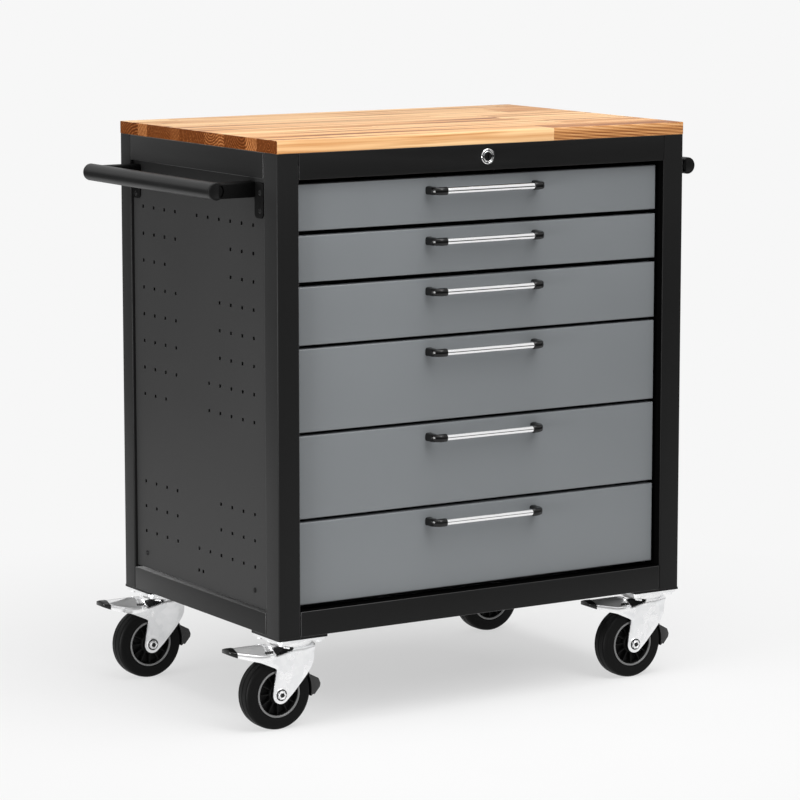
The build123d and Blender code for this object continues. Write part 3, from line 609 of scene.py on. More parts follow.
def plated(name, colour, dark, spangle, cloud, roughness, spread, bump, metallic=1.0):
    """A plated or bare metal finish."""
    values = {
        "Colour": colour, "Shade": dark, "Spangle": spangle, "Cloud": cloud, "Roughness": roughness, "Spread": spread
    }
    return finish_material(name, PLATED, values, {"Metallic": metallic}, bump)


def oiled(name, light, middle, dark, end_grain, bump, **shader):
    """Oiled beech along the grain (0) or across it (1)."""
    values = {"Light": (*light, 1), "Middle": (*middle, 1), "Dark": (*dark, 1), "End Grain": end_grain}
    return finish_material(name, BEECH, values, shader, bump)


MATT, DEEP = gloss(0.16), gloss(0.10)
POWDER = {**gloss(0.12), "Sheen Weight": 0.30, "Sheen Roughness": 0.35}
FRAME_BLACK = coated("frame_black_powder", grey(0.006), 0.10, 1400.0, 4.0, 0.44, 0.10, (0.12, 0.0004), **POWDER)
# Lighter, glossier copy of the frame's black for the rounded folds: a painted highlight along the edges.
FRAME_EDGE_HIGHLIGHT = coated("frame_edge_painted_highlight", grey(0.030), 0.10, 1400.0, 4.0, 0.34, 0.10, (0.08, 0.0004))
# Darker, matt copy of the frame's black for the faces towards the drawer opening: painted shade in the reveal.
REVEAL_PAINTED_SHADE = coated("frame_reveal_painted_shade", grey(0.002), 0.10, 1400.0, 4.0, 0.80, 0.10, (0.08, 0.0004), **gloss(0.0))
# Darker, duller copy of the frame's black for the push handle's arms: painted shade on the arms.
ARM_PAINTED_SHADE = coated("arm_black_painted_shade", grey(0.003), 0.10, 1400.0, 4.0, 0.50, 0.10, (0.12, 0.0004), **gloss(0.06))
PANEL_GREY = coated("panel_grey_powder", grey(0.016), 0.10, 1400.0, 4.0, 0.44, 0.10, (0.12, 0.0004), **POWDER)
FRONT_GREY = coated("front_grey_powder", (0.179, 0.191, 0.200, 1), 0.05, 1500.0, 3.0, 0.40, 0.10, (0.10, 0.0004))
TRAY_GREY = coated("tray_grey_powder", (0.17, 0.18, 0.187, 1), 0.06, 1500.0, 3.0, 0.46, 0.10, (0.10, 0.0004))
GRIP_BLACK = coated("push_tube_black", grey(0.008), 0.12, 1200.0, 9.0, 0.36, 0.12, (0.10, 0.0004), **MATT)
PLASTIC_BLACK = coated("moulded_black", grey(0.004), 0.18, 2200.0, 18.0, 0.15, 0.10, (0.06, 0.0003), **gloss(0.3))
BRAKE_BLACK = coated("brake_black", grey(0.010), 0.18, 2200.0, 18.0, 0.26, 0.12, (0.10, 0.0003))
RIM_BLACK = coated("rim_black", grey(0.006), 0.15, 1800.0, 14.0, 0.42, 0.14, (0.12, 0.0003), **DEEP)
RING_GREY = coated("rim_ring_grey", grey(0.16), 0.12, 1500.0, 20.0, 0.32, 0.12, (0.08, 0.0003))
RUBBER_BLACK = coated("tyre_rubber", grey(0.003), 0.22, 1600.0, 26.0, 0.50, 0.16, (0.25, 0.0004), **DEEP)
SCREW_BLACK = coated("screw_black", grey(0.006), 0.20, 2400.0, 40.0, 0.30, 0.14, (0.10, 0.0003), **MATT)
CHROME = plated("chrome", grey(0.90), grey(0.86, 1.01), 300.0, 8.0, 0.05, 0.02, (0.0, 0.0002))
PEDAL_CHROME = plated("pedal_chrome", grey(0.92), grey(0.86, 1.01), 220.0, 12.0, 0.10, 0.04, (0.0, 0.0003), 0.62)
ZINC = plated("bright_zinc", (0.95, 0.95, 0.955, 1), (0.80, 0.81, 0.82, 1), 90.0, 9.0, 0.26, 0.08, (0.01, 0.0003))
RUNNER_ZINC = plated("runner_zinc", grey(0.72), grey(0.52, 1.04), 120.0, 14.0, 0.30, 0.18, (0.06, 0.0003))
PLUG_STEEL = plated("lock_plug_steel", grey(0.15), grey(0.10), 300.0, 30.0, 0.22, 0.05, (0.0, 0.0002))
LONG_BEECH = oiled(
    "oiled_beech", (0.96, 0.64, 0.335), (0.62, 0.29, 0.105), (0.24, 0.078, 0.020), 0.0, (0.10, 0.0004), **gloss(0.2)
)
END_BEECH = oiled(
    "oiled_beech_end", (0.37, 0.152, 0.052), (0.145, 0.042, 0.010), (0.065, 0.016, 0.003), 1.0, (0.14, 0.0004),
    **gloss(0.03),
)


# Geometry trees for what repeats

GEOMETRY = "NodeSocketGeometry"


def repeating_tree(name, inputs):
    """An empty geometry tree with a finish among its inputs."""
    inputs = (("Geometry", GEOMETRY, None), *inputs, ("Finish", "NodeSocketMaterial", None))
    return group_tree(name, "GeometryNodeTree", inputs, (("Geometry", GEOMETRY),))


def close_tree(tree, given, out, geometry):
    """Realize the copies and give them their finish."""
    real = node(tree, "GeometryNodeRealizeInstances", {0: geometry})
    done = node(tree, "GeometryNodeSetMaterial", {"Geometry": real.outputs[0], "Material": given.outputs["Finish"]})
    tree.links.new(done.outputs[0], out.inputs[0])
    return tree


def heads_on_points(tree, given, out, head):
    """Set a head on each point of the mesh, turned to the point's facing, and close the tree."""
    facing = node(tree, "GeometryNodeInputNamedAttribute", {"Name": "facing"}, data_type="FLOAT_VECTOR")
    turn = node(tree, "FunctionNodeAlignRotationToVector", {"Vector": facing.outputs[0]}, axis="Z")
    copies = node(tree, "GeometryNodeInstanceOnPoints", {
        "Points": given.outputs["Geometry"], "Instance": head, "Rotation": turn.outputs[0],
    })
    return close_tree(tree, given, out, copies.outputs[0])


def lifted(tree, geometry, height):
    """A shape raised along Z."""
    rise = node(tree, "ShaderNodeCombineXYZ", {2: height})
    return node(tree, "GeometryNodeTransform", {"Geometry": geometry, "Translation": rise.outputs[0]}).outputs[0]


def button_screw_tree():
    """Button-head screws with a six-sided socket, one on each point of the mesh."""
    tree, given, out = repeating_tree("button_screws", (("Radius", FLOAT, 0.005), ("Height", FLOAT, 0.0025)))
    radius, height = given.outputs["Radius"], given.outputs["Height"]
    crown = node(tree, "GeometryNodeMeshCone", {
        "Vertices": 20, "Radius Top": times(tree, radius, 0.55), "Radius Bottom": radius, "Depth": height,
    })
    socket = node(tree, "GeometryNodeMeshCylinder", {
        "Vertices": 6, "Radius": times(tree, radius, 0.4), "Depth": height,
    })
    raised = lifted(tree, socket.outputs[0], times(tree, height, 0.45))
    inputs = {"Mesh 1": crown.outputs[0], "Mesh 2": raised}
    cut = node(tree, "GeometryNodeMeshBoolean", inputs, operation="DIFFERENCE")
    return heads_on_points(tree, given, out, cut.outputs[0])


def hexagon_bolt_tree():
    """Hexagon bolt heads on round washers, one on each point of the mesh."""
    tree, given, out = repeating_tree("hexagon_bolts", (("Width", FLOAT, 0.013), ("Height", FLOAT, 0.005)))
    width, height = given.outputs["Width"], given.outputs["Height"]
    head = node(tree, "GeometryNodeMeshCone", {
        "Vertices": 6, "Radius Top": times(tree, width, 0.52), "Radius Bottom": times(tree, width, 0.577),
        "Depth": height,
    })
    washer_height = times(tree, height, 0.25)
    washer = node(tree, "GeometryNodeMeshCylinder", {
        "Vertices": 20, "Radius": times(tree, width, 0.75), "Depth": washer_height,
    })
    raised = lifted(tree, head.outputs[0], washer_height)
    both = node(tree, "GeometryNodeJoinGeometry")
    tree.links.new(lifted(tree, washer.outputs[0], times(tree, washer_height, 0.5)), both.inputs[0])
    tree.links.new(raised, both.inputs[0])
    return heads_on_points(tree, given, out, both.outputs[0])


def wheel_rib_tree():
    """Thin ribs between hub and lip, set round an axle along Y."""
    tree, given, out = repeating_tree("wheel_ribs", (
        ("Count", "NodeSocketInt", 12), ("Inner", FLOAT, 0.015), ("Outer", FLOAT, 0.035), ("Thickness", FLOAT, 0.002),
        ("Width", FLOAT, 0.03), ("Centre", VECTOR, (0, 0, 0)),
    ))
    inner, outer = given.outputs["Inner"], given.outputs["Outer"]
    middle = times(tree, plus(tree, inner, outer), 0.5)
    ring = node(tree, "GeometryNodeMeshCircle", {"Vertices": given.outputs["Count"], "Radius": middle})
    size = node(tree, "ShaderNodeCombineXYZ", {
        0: minus(tree, outer, inner), 1: given.outputs["Thickness"], 2: given.outputs["Width"],
    })
    rib = node(tree, "GeometryNodeMeshCube", {"Size": size.outputs[0]})
    spoke = node(tree, "GeometryNodeInputPosition")
    turn = node(tree, "FunctionNodeAlignRotationToVector", {"Vector": spoke.outputs[0]}, axis="X")
    copies = node(tree, "GeometryNodeInstanceOnPoints", {
        "Points": ring.outputs[0], "Instance": rib.outputs[0], "Rotation": turn.outputs[0],
    })
    upright = node(tree, "GeometryNodeTransform", {
        "Geometry": copies.outputs[0], "Translation": given.outputs["Centre"], "Rotation": (pi / 2, 0, 0),
    })
    return close_tree(tree, given, out, upright.outputs[0])


def ridge_tree():
    """A row of small ridges across a moulded tab."""
    tree, given, out = repeating_tree("tab_ridges", (
        ("Count", "NodeSocketInt", 5), ("Step", VECTOR, (0.003, 0, 0)), ("Start", VECTOR, (0, 0, 0)),
        ("Size", VECTOR, (0.0012, 0.01, 0.0015)),
    ))
    line = node(tree, "GeometryNodeMeshLine", {
        "Count": given.outputs["Count"], "Start Location": given.outputs["Start"], "Offset": given.outputs["Step"],
    })
    ridge = node(tree, "GeometryNodeMeshCube", {"Size": given.outputs["Size"]})
    copies = node(tree, "GeometryNodeInstanceOnPoints", {"Points": line.outputs[0], "Instance": ridge.outputs[0]})
    return close_tree(tree, given, out, copies.outputs[0])


def grown(name, tree, values, body, seats=()):
    """Run a geometry tree on its seats (point, facing) and keep the result as a plain mesh."""
    mesh = bpy.data.meshes.new(name)
    mesh.from_pydata([Vector(point) * MM for point, _ in seats], [], [])
    facing = mesh.attributes.new("facing", "FLOAT_VECTOR", "POINT")
    for item, (_, direction) in zip(facing.data, seats):
        item.vector = direction
    made = bpy.data.objects.new(name, mesh)
    bpy.context.scene.collection.objects.link(made)
    build = made.modifiers.new("build", "NODES")
    build.node_group = tree
    for item in tree.interface.items_tree:
        if item.in_out == "INPUT" and item.name in values:
            build[item.identifier] = values[item.name]
    bpy.context.view_layer.update()
    evaluated = made.evaluated_get(bpy.context.evaluated_depsgraph_get())
    plain = bpy.data.meshes.new_from_object(evaluated)
    made.modifiers.clear()
    made.data = plain
    bpy.data.meshes.remove(mesh)
    plain.name = name
    shade(plain, 30)
    return settle(made, body)


BUTTON_SCREWS, HEXAGON_BOLTS, WHEEL_RIBS, TAB_RIDGES = (
    button_screw_tree(), hexagon_bolt_tree(), wheel_rib_tree(), ridge_tree()
)


# Cabinet

def worktop():
    """Staved board with eased edges, whose two ends show end grain."""
    bm = bmesh.new()
    block(bm, BOARD_LOW, BOARD_HIGH)
    soften(bm, BOARD_ROUND, 3)
    for face in bm.faces:
        face.material_index = 1 if abs(face.normal.x) > END_NEARNESS else 0
    piece("worktop_board", bm, (LONG_BEECH, END_BEECH), "cabinet", ("worktop",))


FRAME_NODES = (
    "front_left_post", "front_right_post", "rear_left_post", "rear_right_post", "front_top_rail", "front_bottom_rail",
    "left_rails", "right_rails",
)

# Faces of the front members towards the drawer opening, which take painted shade
PAINTED_SHADE_FACES = {
    "front_left_post": Vector((1, 0, 0)), "front_right_post": Vector((-1, 0, 0)),
    "front_top_rail": Vector((0, 0, -1)), "front_bottom_rail": Vector((0, 0, 1)),
}


def folded_frame():
    """Posts and rails with the rounded edges of folded sheet, a painted highlight on the folds and painted shade on
    the faces towards the drawer opening.
    """
    for name in FRAME_NODES:
        bm = bmesh.new()
        bm.from_mesh(frame["nodes"][name].data)
        bmesh.ops.scale(bm, vec=(1 / MM, 1 / MM, 1 / MM), verts=bm.verts)
        bmesh.ops.remove_doubles(bm, verts=bm.verts, dist=1e-2)
        bmesh.ops.dissolve_limit(bm, angle_limit=radians(1), verts=bm.verts, edges=bm.edges)
        # The rounded folds take the painted highlight.
        for face in soften(bm, FOLD_ROUND, 3, 60):
            face.material_index = 1
        # The faces towards the drawer opening take the painted shade.
        for face in bm.faces:
            if name in PAINTED_SHADE_FACES and face.normal.dot(PAINTED_SHADE_FACES[name]) > PAINTED_SHADE_NEARNESS:
                face.material_index = 2
        finishes = (FRAME_BLACK, FRAME_EDGE_HIGHLIGHT, REVEAL_PAINTED_SHADE)
        piece(f"{name}_folded", bm, finishes, "cabinet", (name,))


def paint_frame():
    """Finishes of the CAD solids that stay as they are."""
    finishes = {
        FRAME_BLACK: ("caster_gussets",),
        PANEL_GREY: ("left_side_panel", "right_side_panel", "back_panel", "base_panel"),
        RUNNER_ZINC: ("runner_channels", "lock_bar"),
        ZINC: ("caster_plates",),
        PLUG_STEEL: ("lock_plug",),
    }
    for material, names in finishes.items():
        for name in names:
            mesh = frame["nodes"][name].data
            mesh.materials.clear()
            mesh.materials.append(material)


def lock():
    """Bezel with a rounded rim and a stepped face round the plug, and a black ring in its groove as painted shade."""
    low, high = corners_mm("lock_housing")
    centre = (0, 0, (low.z + high.z) / 2)
    face, rear = low.y, high.y
    profile = [(LOCK_BORE, rear), (LOCK_BARREL, rear), (LOCK_BARREL, FRONT_Y), (LOCK_FLANGE, FRONT_Y)]
    profile += [(radius, face + depth) for radius, depth in BEZEL_FACE] + [(LOCK_BORE, rear)]
    bm = bmesh.new()
    lathe(bm, profile, centre, "y", 56)
    piece("lock_bezel", bm, CHROME, "cabinet", ("lock_housing",))
    bm = bmesh.new()
    lathe(bm, [(radius, face + depth) for radius, depth in LOCK_GROOVE_SHADE], centre, "y", 56)
    piece("lock_groove_painted_shade", bm, PLASTIC_BLACK, "cabinet")


def push_handles():
    """Tubes with rounded end caps, and folded arms with feet; returns the seats of the feet's screws."""
    arms = bmesh.new()
    seats = []
    for side, node_name in ((-1, "left_handle_tube"), (1, "right_handle_tube")):
        low, high = corners_mm(node_name)
        x, y, z = (low + high) / 2
        radius, half = (high.z - low.z) / 2, (high.y - low.y) / 2
        profile = [(0, CAP_DISH - half)] + [(radius - drop, depth - half) for drop, depth in TUBE_CAP]
        tube = bmesh.new()
        lathe(tube, both_halves(profile), (x, y, z), "y", 48)
        piece(f"{node_name}_grip", tube, GRIP_BLACK, "cabinet", (node_name,))
        seat = side * PANEL_X
        rear = high.y - REAR_ARM
        feet = ((low.y, low.y - FOOT_REACH, FRONT_FOOT_SCREWS), (rear, rear, REAR_FOOT_SCREWS))
        for start, foot, (screw_place, screw_rows) in feet:
            section = rectangle(start, z - ARM_HALF, start + ARM_WIDTH, z + ARM_HALF)
            near, far = sorted((x - side * ARM_OVERLAP, seat))
            prism(arms, rounded(section, ARM_ROUND), "x", near, far)
            tab = rectangle(foot, z - FOOT_DROP, foot + ARM_WIDTH, z + ARM_HALF)
            near, far = sorted((seat, seat + side * FOOT_SHEET))
            prism(arms, rounded(tab, FOOT_CORNERS), "x", near, far)
            for row in screw_rows:
                seats.append(((seat + side * SCREW_SEAT, foot + screw_place, z + row), (side, 0, 0)))
    soften(arms, FOOT_EDGE, 2)
    # The arms and their feet take the darker copy of the frame's black: painted shade.
    piece("push_handle_arms", arms, ARM_PAINTED_SHADE, "cabinet", ("handle_arms",))
    return seats


def panel_screw_seats():
    """Seats of the screws in the lower corners of the side panels."""
    height = corners_mm("left_rails")[0].z + PANEL_SCREW_RISE
    return [
        ((side * (PANEL_X + PANEL_SCREW_SEAT), FRONT_Y + place, height), (side, 0, 0))
        for side in (-1, 1) for place in PANEL_SCREW_PLACES
    ]


def swivel_axes():
    """Swivel axis (x, y) of each caster by its corner, from its joint."""
    axes = {}
    for joint in frame["joints"]:
        for corner in CORNERS:
            if joint["name"] == f"{corner}_swivel":
                axes[corner] = tuple(value / MM for value in joint["pos_m"][:2])
    return axes


def cabinet():
    """Everything that stands still: board, frame, panels, lock and push handles with their screws and bolts."""
    worktop()
    folded_frame()
    paint_frame()
    lock()
    screws = push_handles() + panel_screw_seats()
    values = {"Radius": 0.0048, "Height": 0.0026, "Finish": SCREW_BLACK}
    grown("cabinet_screws", BUTTON_SCREWS, values, "cabinet", screws)
    underside = corners_mm("caster_gussets")[0].z - PLATE_THICKNESS
    reach = (-PLATE_BOLT_REACH, PLATE_BOLT_REACH)
    bolts = [
        ((x + dx, y + dy, underside), (0, 0, -1)) for x, y in swivel_axes().values() for dx in reach for dy in reach
    ]
    values = {"Width": 0.011, "Height": 0.0045, "Finish": ZINC}
    grown("caster_plate_bolts", HEXAGON_BOLTS, values, "cabinet", bolts)


# Drawers

def drawer_front(name, low, high):
    """Folded front: a face with rounded edges and a return on each side."""
    face, half = low.y, corners_mm("front_top_rail")[1].x - FRONT_GAP
    turns = (0, pi / 8, pi / 4, 3 * pi / 8, pi / 2)
    rings = [(FRONT_EDGE * (1 - sin(turn)), face + FRONT_EDGE * (1 - cos(turn))) for turn in turns]
    rings += [
        (0, face + FRONT_DEPTH), (SHEET, face + FRONT_DEPTH), (SHEET, face + SHEET + FRONT_FOLD),
        (SHEET + FRONT_FOLD, face + SHEET),
    ]
    bm = bmesh.new()
    folded_pan(bm, (-half, low.z), (half, high.z), "y", rings)
    piece(f"{name}_front", bm, FRONT_GREY, name, (name,))


def drawer_tray(name, low, high):
    """Sheet steel tray with a rolled rim, and a slotted tab at its rear for the lock bar."""
    side, rear = high.x - RAIL_DEPTH, high.y - TAB_LENGTH
    base, rim = low.z + BOX_RISE, high.z - BOX_TOP_DROP
    rings = [
        (TRAY_FOLD, base), (0, base + TRAY_FOLD), (0, rim - LIP_DROP), (LIP_SIDE, rim - LIP_EASE), (SHEET / 2, rim),
        (SHEET - LIP_SIDE, rim - LIP_EASE), (SHEET, rim - LIP_DROP), (SHEET, base + SHEET + TRAY_FOLD),
        (SHEET + TRAY_FOLD, base + SHEET),
    ]
    bm = bmesh.new()
    folded_pan(bm, (-side, low.y + SHEET), (side, rear), "z", rings)
    slot_half, slot_rear = TAB_SLOT[0] / 2, high.y - TAB_SLOT_REAR
    outer = rectangle(-TAB_WIDTH / 2, rear, TAB_WIDTH / 2, high.y)
    inner = rectangle(-slot_half, slot_rear - TAB_SLOT[1], slot_half, slot_rear)
    under = rim - TAB_THICKNESS
    tab = ((outer, under), (outer, rim), (inner, rim), (inner, under))
    skin(bm, [[(x, y, z) for x, y in loop] for loop, z in tab], wrap=True)
    piece(f"{name}_tray", bm, TRAY_GREY, name, (name,))


def drawer_rails(name, low, high):
    """A folded rail on each side of the tray, which runs in its channel."""
    side, rear = high.x - RAIL_DEPTH, high.y - TAB_LENGTH
    start = corners_mm("runner_channels")[0].y
    foot = low.z + BOX_RISE + RAIL_RISE
    top = foot + RAIL_HEIGHT
    bm = bmesh.new()
    for way in (-1, 1):
        inner, outer, web = way * side, way * (side + RAIL_DEPTH), way * (side + RAIL_WALL)
        prism(bm, [
            (inner, foot), (outer, foot), (outer, foot + RAIL_WALL), (web, foot + RAIL_WALL), (web, top - RAIL_WALL),
            (outer, top - RAIL_WALL), (outer, top), (inner, top),
        ], "y", start, rear)
    soften(bm, RAIL_ROUND, 1, 60)
    piece(f"{name}_rails", bm, RUNNER_ZINC, name, (name,))


def elbow_loops(way, inner, outer, y, z, seat, size):
    """Rounded sections of a moulded elbow, from the end of the grip round to its foot on the drawer front."""
    foot_x = outer - size
    start = foot_x - ELBOW_BEND
    stations = [(inner - SOCKET_DEPTH + along, y, 0.0, size - drop) for along, drop in ELBOW_LIP]
    stations.append((start, y, 0.0, size))
    for k in range(1, ELBOW_STEPS + 1):
        turn = pi / 2 * k / ELBOW_STEPS
        centre = (start + ELBOW_BEND * sin(turn), y + ELBOW_BEND * (1 - cos(turn)))
        stations.append((*centre, turn, size - ELBOW_WAIST * sin(2 * turn)))
    stations += [(foot_x, seat - rise, pi / 2, size + growth) for rise, growth in ELBOW_FOOT]
    loops = []
    for along, back, turn, reach in stations:
        power = 2 / (GRIP_POWER + (FOOT_POWER - GRIP_POWER) * sin(turn))
        loop = []
        for k in range(ELBOW_POINTS):
            a, b = cos(2 * pi * k / ELBOW_POINTS), sin(2 * pi * k / ELBOW_POINTS)
            out = reach * copysign(abs(a) ** power, a)
            up = reach * copysign(abs(b) ** power, b)
            loop.append((way * (along + out * sin(turn)), back - out * cos(turn), z + up))
        loops.append(loop)
    return loops


def drawer_handle(name):
    """Chrome grip with stepped ends in two moulded elbows."""
    low, high = corners_mm(f"{name}_handle_bar")
    y, z, radius = (low.y + high.y) / 2, (low.z + high.z) / 2, (high.z - low.z) / 2
    half = high.x
    end = [(0, -half - GRIP_TENON)] + [(radius - drop, along - half) for drop, along in GRIP_END]
    bar = bmesh.new()
    lathe(bar, both_halves(end + [(radius, 0)]), (0, y, z), "x", 40)
    piece(f"{name}_grip", bar, CHROME, name, (f"{name}_handle_bar",))
    low, high = corners_mm(f"{name}_handle_ends")
    ends = bmesh.new()
    for way in (-1, 1):
        skin(ends, elbow_loops(way, half, high.x, y, z, high.y, (high.z - low.z) / 2))
    piece(f"{name}_elbows", ends, PLASTIC_BLACK, name, (f"{name}_handle_ends",))


def drawer(number):
    """One drawer: folded front, tray, runner rails and handle."""
    name = f"drawer_{number}"
    low, high = corners_mm(name)
    drawer_front(name, low, high)
    drawer_tray(name, low, high)
    drawer_rails(name, low, high)
    drawer_handle(name)


# Casters

# Edges of a fork leg as (height, x) points
LEG_FRONT = ((51.5, -20), (62.5, -8), (78.4, 7.2), (94, 21.4), (107, 32), (113, 35.5), (120, 37), (145, 37))
LEG_REAR = (
    (62.5, -46.5), (80, -44), (100, -40), (107, -39), (110, -43), (123, -71.5), (126, -72.5), (129.5, -40), (136, -9),
    (139, -5), (145, -4),
)


def leg_edges(z):
    """Rear and front edge (x) of a fork leg at a height."""
    reach = sqrt(max(BOSS_RADIUS ** 2 - (WHEEL_RADIUS - z) ** 2, BOSS_LEAST ** 2))
    rear = -TRAIL - reach if z <= WHEEL_RADIUS else interpolated(LEG_REAR, z)
    front = -TRAIL + reach if z <= LEG_FRONT[0][0] else interpolated(LEG_FRONT, z)
    return rear, front


def interpolated(points, at):
    """Straight interpolation through (place, value) points."""
    for (a, first), (b, last) in zip(points, points[1:]):
        if a <= at <= b:
            return first + (last - first) * (at - a) / (b - a)
    return points[-1][1] if at > points[-1][0] else points[0][1]


# Heights of the rows of points on a fork leg, up to the bend into the crown
FORK_LEVELS = (
    47.05, 47.5, 48.5, 50, 52, 55, 58.5, 62.5, 70, 80, 92, 100, 107, 110, 113, 116.5, 120, 123, 126, 128, 130, 133,
    CROWN_TOP - FORK_BEND,
)


def fork_rows(inset):
    """Stations (y, z, level) of the pressed fork from one boss over the crown to the other."""
    bend = FORK_BEND - inset
    half, top = FORK_HALF - inset, CROWN_TOP - inset
    side = [(half, z, z) for z in FORK_LEVELS]
    turns = (pi / 8, pi / 4, 3 * pi / 8, pi / 2)
    arc = [
        (half - bend + bend * cos(turn), top - bend + bend * sin(turn), FORK_LEVELS[-1] + FORK_BEND * k / len(turns))
        for k, turn in enumerate(turns, 1)
    ]
    over = side + arc
    return over + [(-y, z, level) for y, z, level in reversed(over)]


def thick_sheet(bm, outer, inner):
    """Two open grids of points joined round their border into one sheet."""
    outer = skin(bm, outer, closed_rows=False, ends=False)
    inner = skin(bm, inner, closed_rows=False, ends=False)
    for a, b, c, d in zip(outer, outer[1:], inner, inner[1:]):
        for k in (0, -1):
            bm.faces.new((a[k], b[k], d[k], c[k]))
    for k in (0, -1):
        for a, b, c, d in zip(outer[k], outer[k][1:], inner[k], inner[k][1:]):
            bm.faces.new((a, b, d, c))


def fork_sheet(bm, x, y):
    """Pressed steel fork: one bent sheet with a rolled front edge on its legs."""
    layers = []
    for inset in (0, FORK_SHEET):
        rows = []
        for ry, rz, level in fork_rows(inset):
            rear, front = leg_edges(level)
            row = []
            for k in range(FORK_ACROSS):
                px = rear + (front - rear) * k / (FORK_ACROSS - 1)
                fade = min(1.0, max(0.0, (LEG_ROLL_TOP - rz) / LEG_ROLL_FADE))
                roll = max(0.0, (px - LEG_ROLL_START) / LEG_ROLL_REACH) ** 2 * LEG_ROLL_DEPTH * fade
                row.append((x + px, y + ry - (roll if ry > 0 else -roll), rz))
            rows.append(row)
        layers.append(rows)
    thick_sheet(bm, *layers)


# Cup round the ball race as (radius, height)
CUP_OUTSIDE = ((15, 142.6), (24, 142.7), (31, 143.4), (36.5, 145.4), (40, 148.6), (41.6, 152), (41.8, 154.2))
CUP_INSIDE = ((40.6, 154.2), (40.3, 151.6), (39.6, 148.8), (35.6, 146.4), (31, 145.0), (24, 144.2), (15, 144.1))


def swivel_cup(corner, x, y):
    """Pressed cup on the crown that runs round the ball race."""
    bm = bmesh.new()
    lathe(bm, CUP_OUTSIDE + CUP_INSIDE + CUP_OUTSIDE[:1], (x, y, 0), "z", 56)
    piece(f"{corner}_swivel_cup", bm, PEDAL_CHROME, f"{corner}_caster", (f"{corner}_fork",))


# Turned pieces of the axle and of the pedal's pins as (radius, distance from the caster's middle plane)
AXLE = ((0, -23), (5, -23), (5, 23), (0, 23))
SPACER = ((5, 18.1), (9, 18.1), (9, 21.9), (5, 21.9), (5, 18.1))
WASHER = ((0, 25), (11.2, 25), (11.2, 26), (10.7, 26.4), (0, 26.4))
NUT_DOME = ((4.5, 28.2), (4.6, 29.4), (5.2, 29.7), (6.0, 29.5), (6.4, 29), (4.5, 28.2))
NUT_SPAN = (26.4, 29)
NUT_CORNER = 7.0 / cos(pi / 6)
# A black ring round each nut and a black six-sided plug in its dome: painted shade in the gap and in the socket.
AXLE_RING_SHADE = ((7.6, 26.2), (10.2, 26.2), (10.1, 26.8), (9.4, 27.1), (8.0, 26.9), (7.6, 26.2))
AXLE_SOCKET_SHADE = ((0, 27.5), (4.4, 27.5), (4.4, 29.2), (0, 29.2))
PEDAL_PIN = ((0, 22), (3, 22), (3, 27.6), (4.6, 28), (4.4, 29), (3.4, 29.6), (0, 29.8))


def axle_set(bm, centre):
    """Axle with spacers, washers and a domed hexagon on each side."""
    lathe(bm, AXLE, centre, "y", 24)
    lathe_pair(bm, SPACER, centre, 32)
    lathe_pair(bm, WASHER, centre, 32)
    x, y, z = centre
    outline = [(x + NUT_CORNER * cos(pi / 3 * k), z + NUT_CORNER * sin(pi / 3 * k)) for k in range(6)]
    for way in (-1, 1):
        prism(bm, outline, "y", y + way * NUT_SPAN[0], y + way * NUT_SPAN[1])
    lathe_pair(bm, NUT_DOME, centre, 24)


# The pedal along its length to the tip: half width, rim height, foot of the skirt and crown
PEDAL_WIDTH = ((0, 28), (0.36, 28), (0.55, 25.5), (0.8, 20), (0.93, 17), (0.98, 14), (1, 10))
PEDAL_RIM = ((0, 135), (0.36, 136), (0.7, 141), (1, 145.5))
PEDAL_FOOT = ((0, 127), (0.3, 123), (0.36, 123.2), (0.6, 128.5), (0.85, 134.5), (1, 139.5))
PEDAL_CROWN = ((0, 12), (0.2, 13), (0.4, 11.5), (0.7, 7), (0.9, 4.2), (1, 3))
# Its arched top: points from the shoulder to the middle, and how steeply it rises
ARCH_PLACES = (0.92, 0.82, 0.68, 0.5, 0.3, 0.12)
ARCH_POWER = 1.4


def pedal_loop(place, grow=0.0):
    """Cross-section (y, z) of the pedal from one skirt over the arched top to the other."""
    width, rim = interpolated(PEDAL_WIDTH, place) + grow, interpolated(PEDAL_RIM, place) + grow
    foot, crown = interpolated(PEDAL_FOOT, place), interpolated(PEDAL_CROWN, place)
    reach, shoulder = width - PEDAL_FOLD, rim - PEDAL_FOLD
    side = [(width, foot), (width, shoulder)]
    side += [(reach + PEDAL_FOLD * cos(a), shoulder + PEDAL_FOLD * sin(a)) for a in (pi / 6, pi / 3, pi / 2)]
    arch = [(reach * k, rim + crown * (1 - k * k) ** ARCH_POWER) for k in ARCH_PLACES]
    half = side + arch
    return half + [(-a, b) for a, b in reversed(half)]


def pedal_rows(x, y, start, end, steps, grow=0.0):
    """Sections of the arched tongue between two shares of its length."""
    tip = PEDAL_TIP - max(grow, 0.0)
    rows = []
    for k in range(steps + 1):
        place = start + (end - start) * k / steps
        px = PEDAL_ROOT + (tip - PEDAL_ROOT) * place
        rows.append([(x + px, y + py, pz) for py, pz in pedal_loop(place, grow)])
    return rows


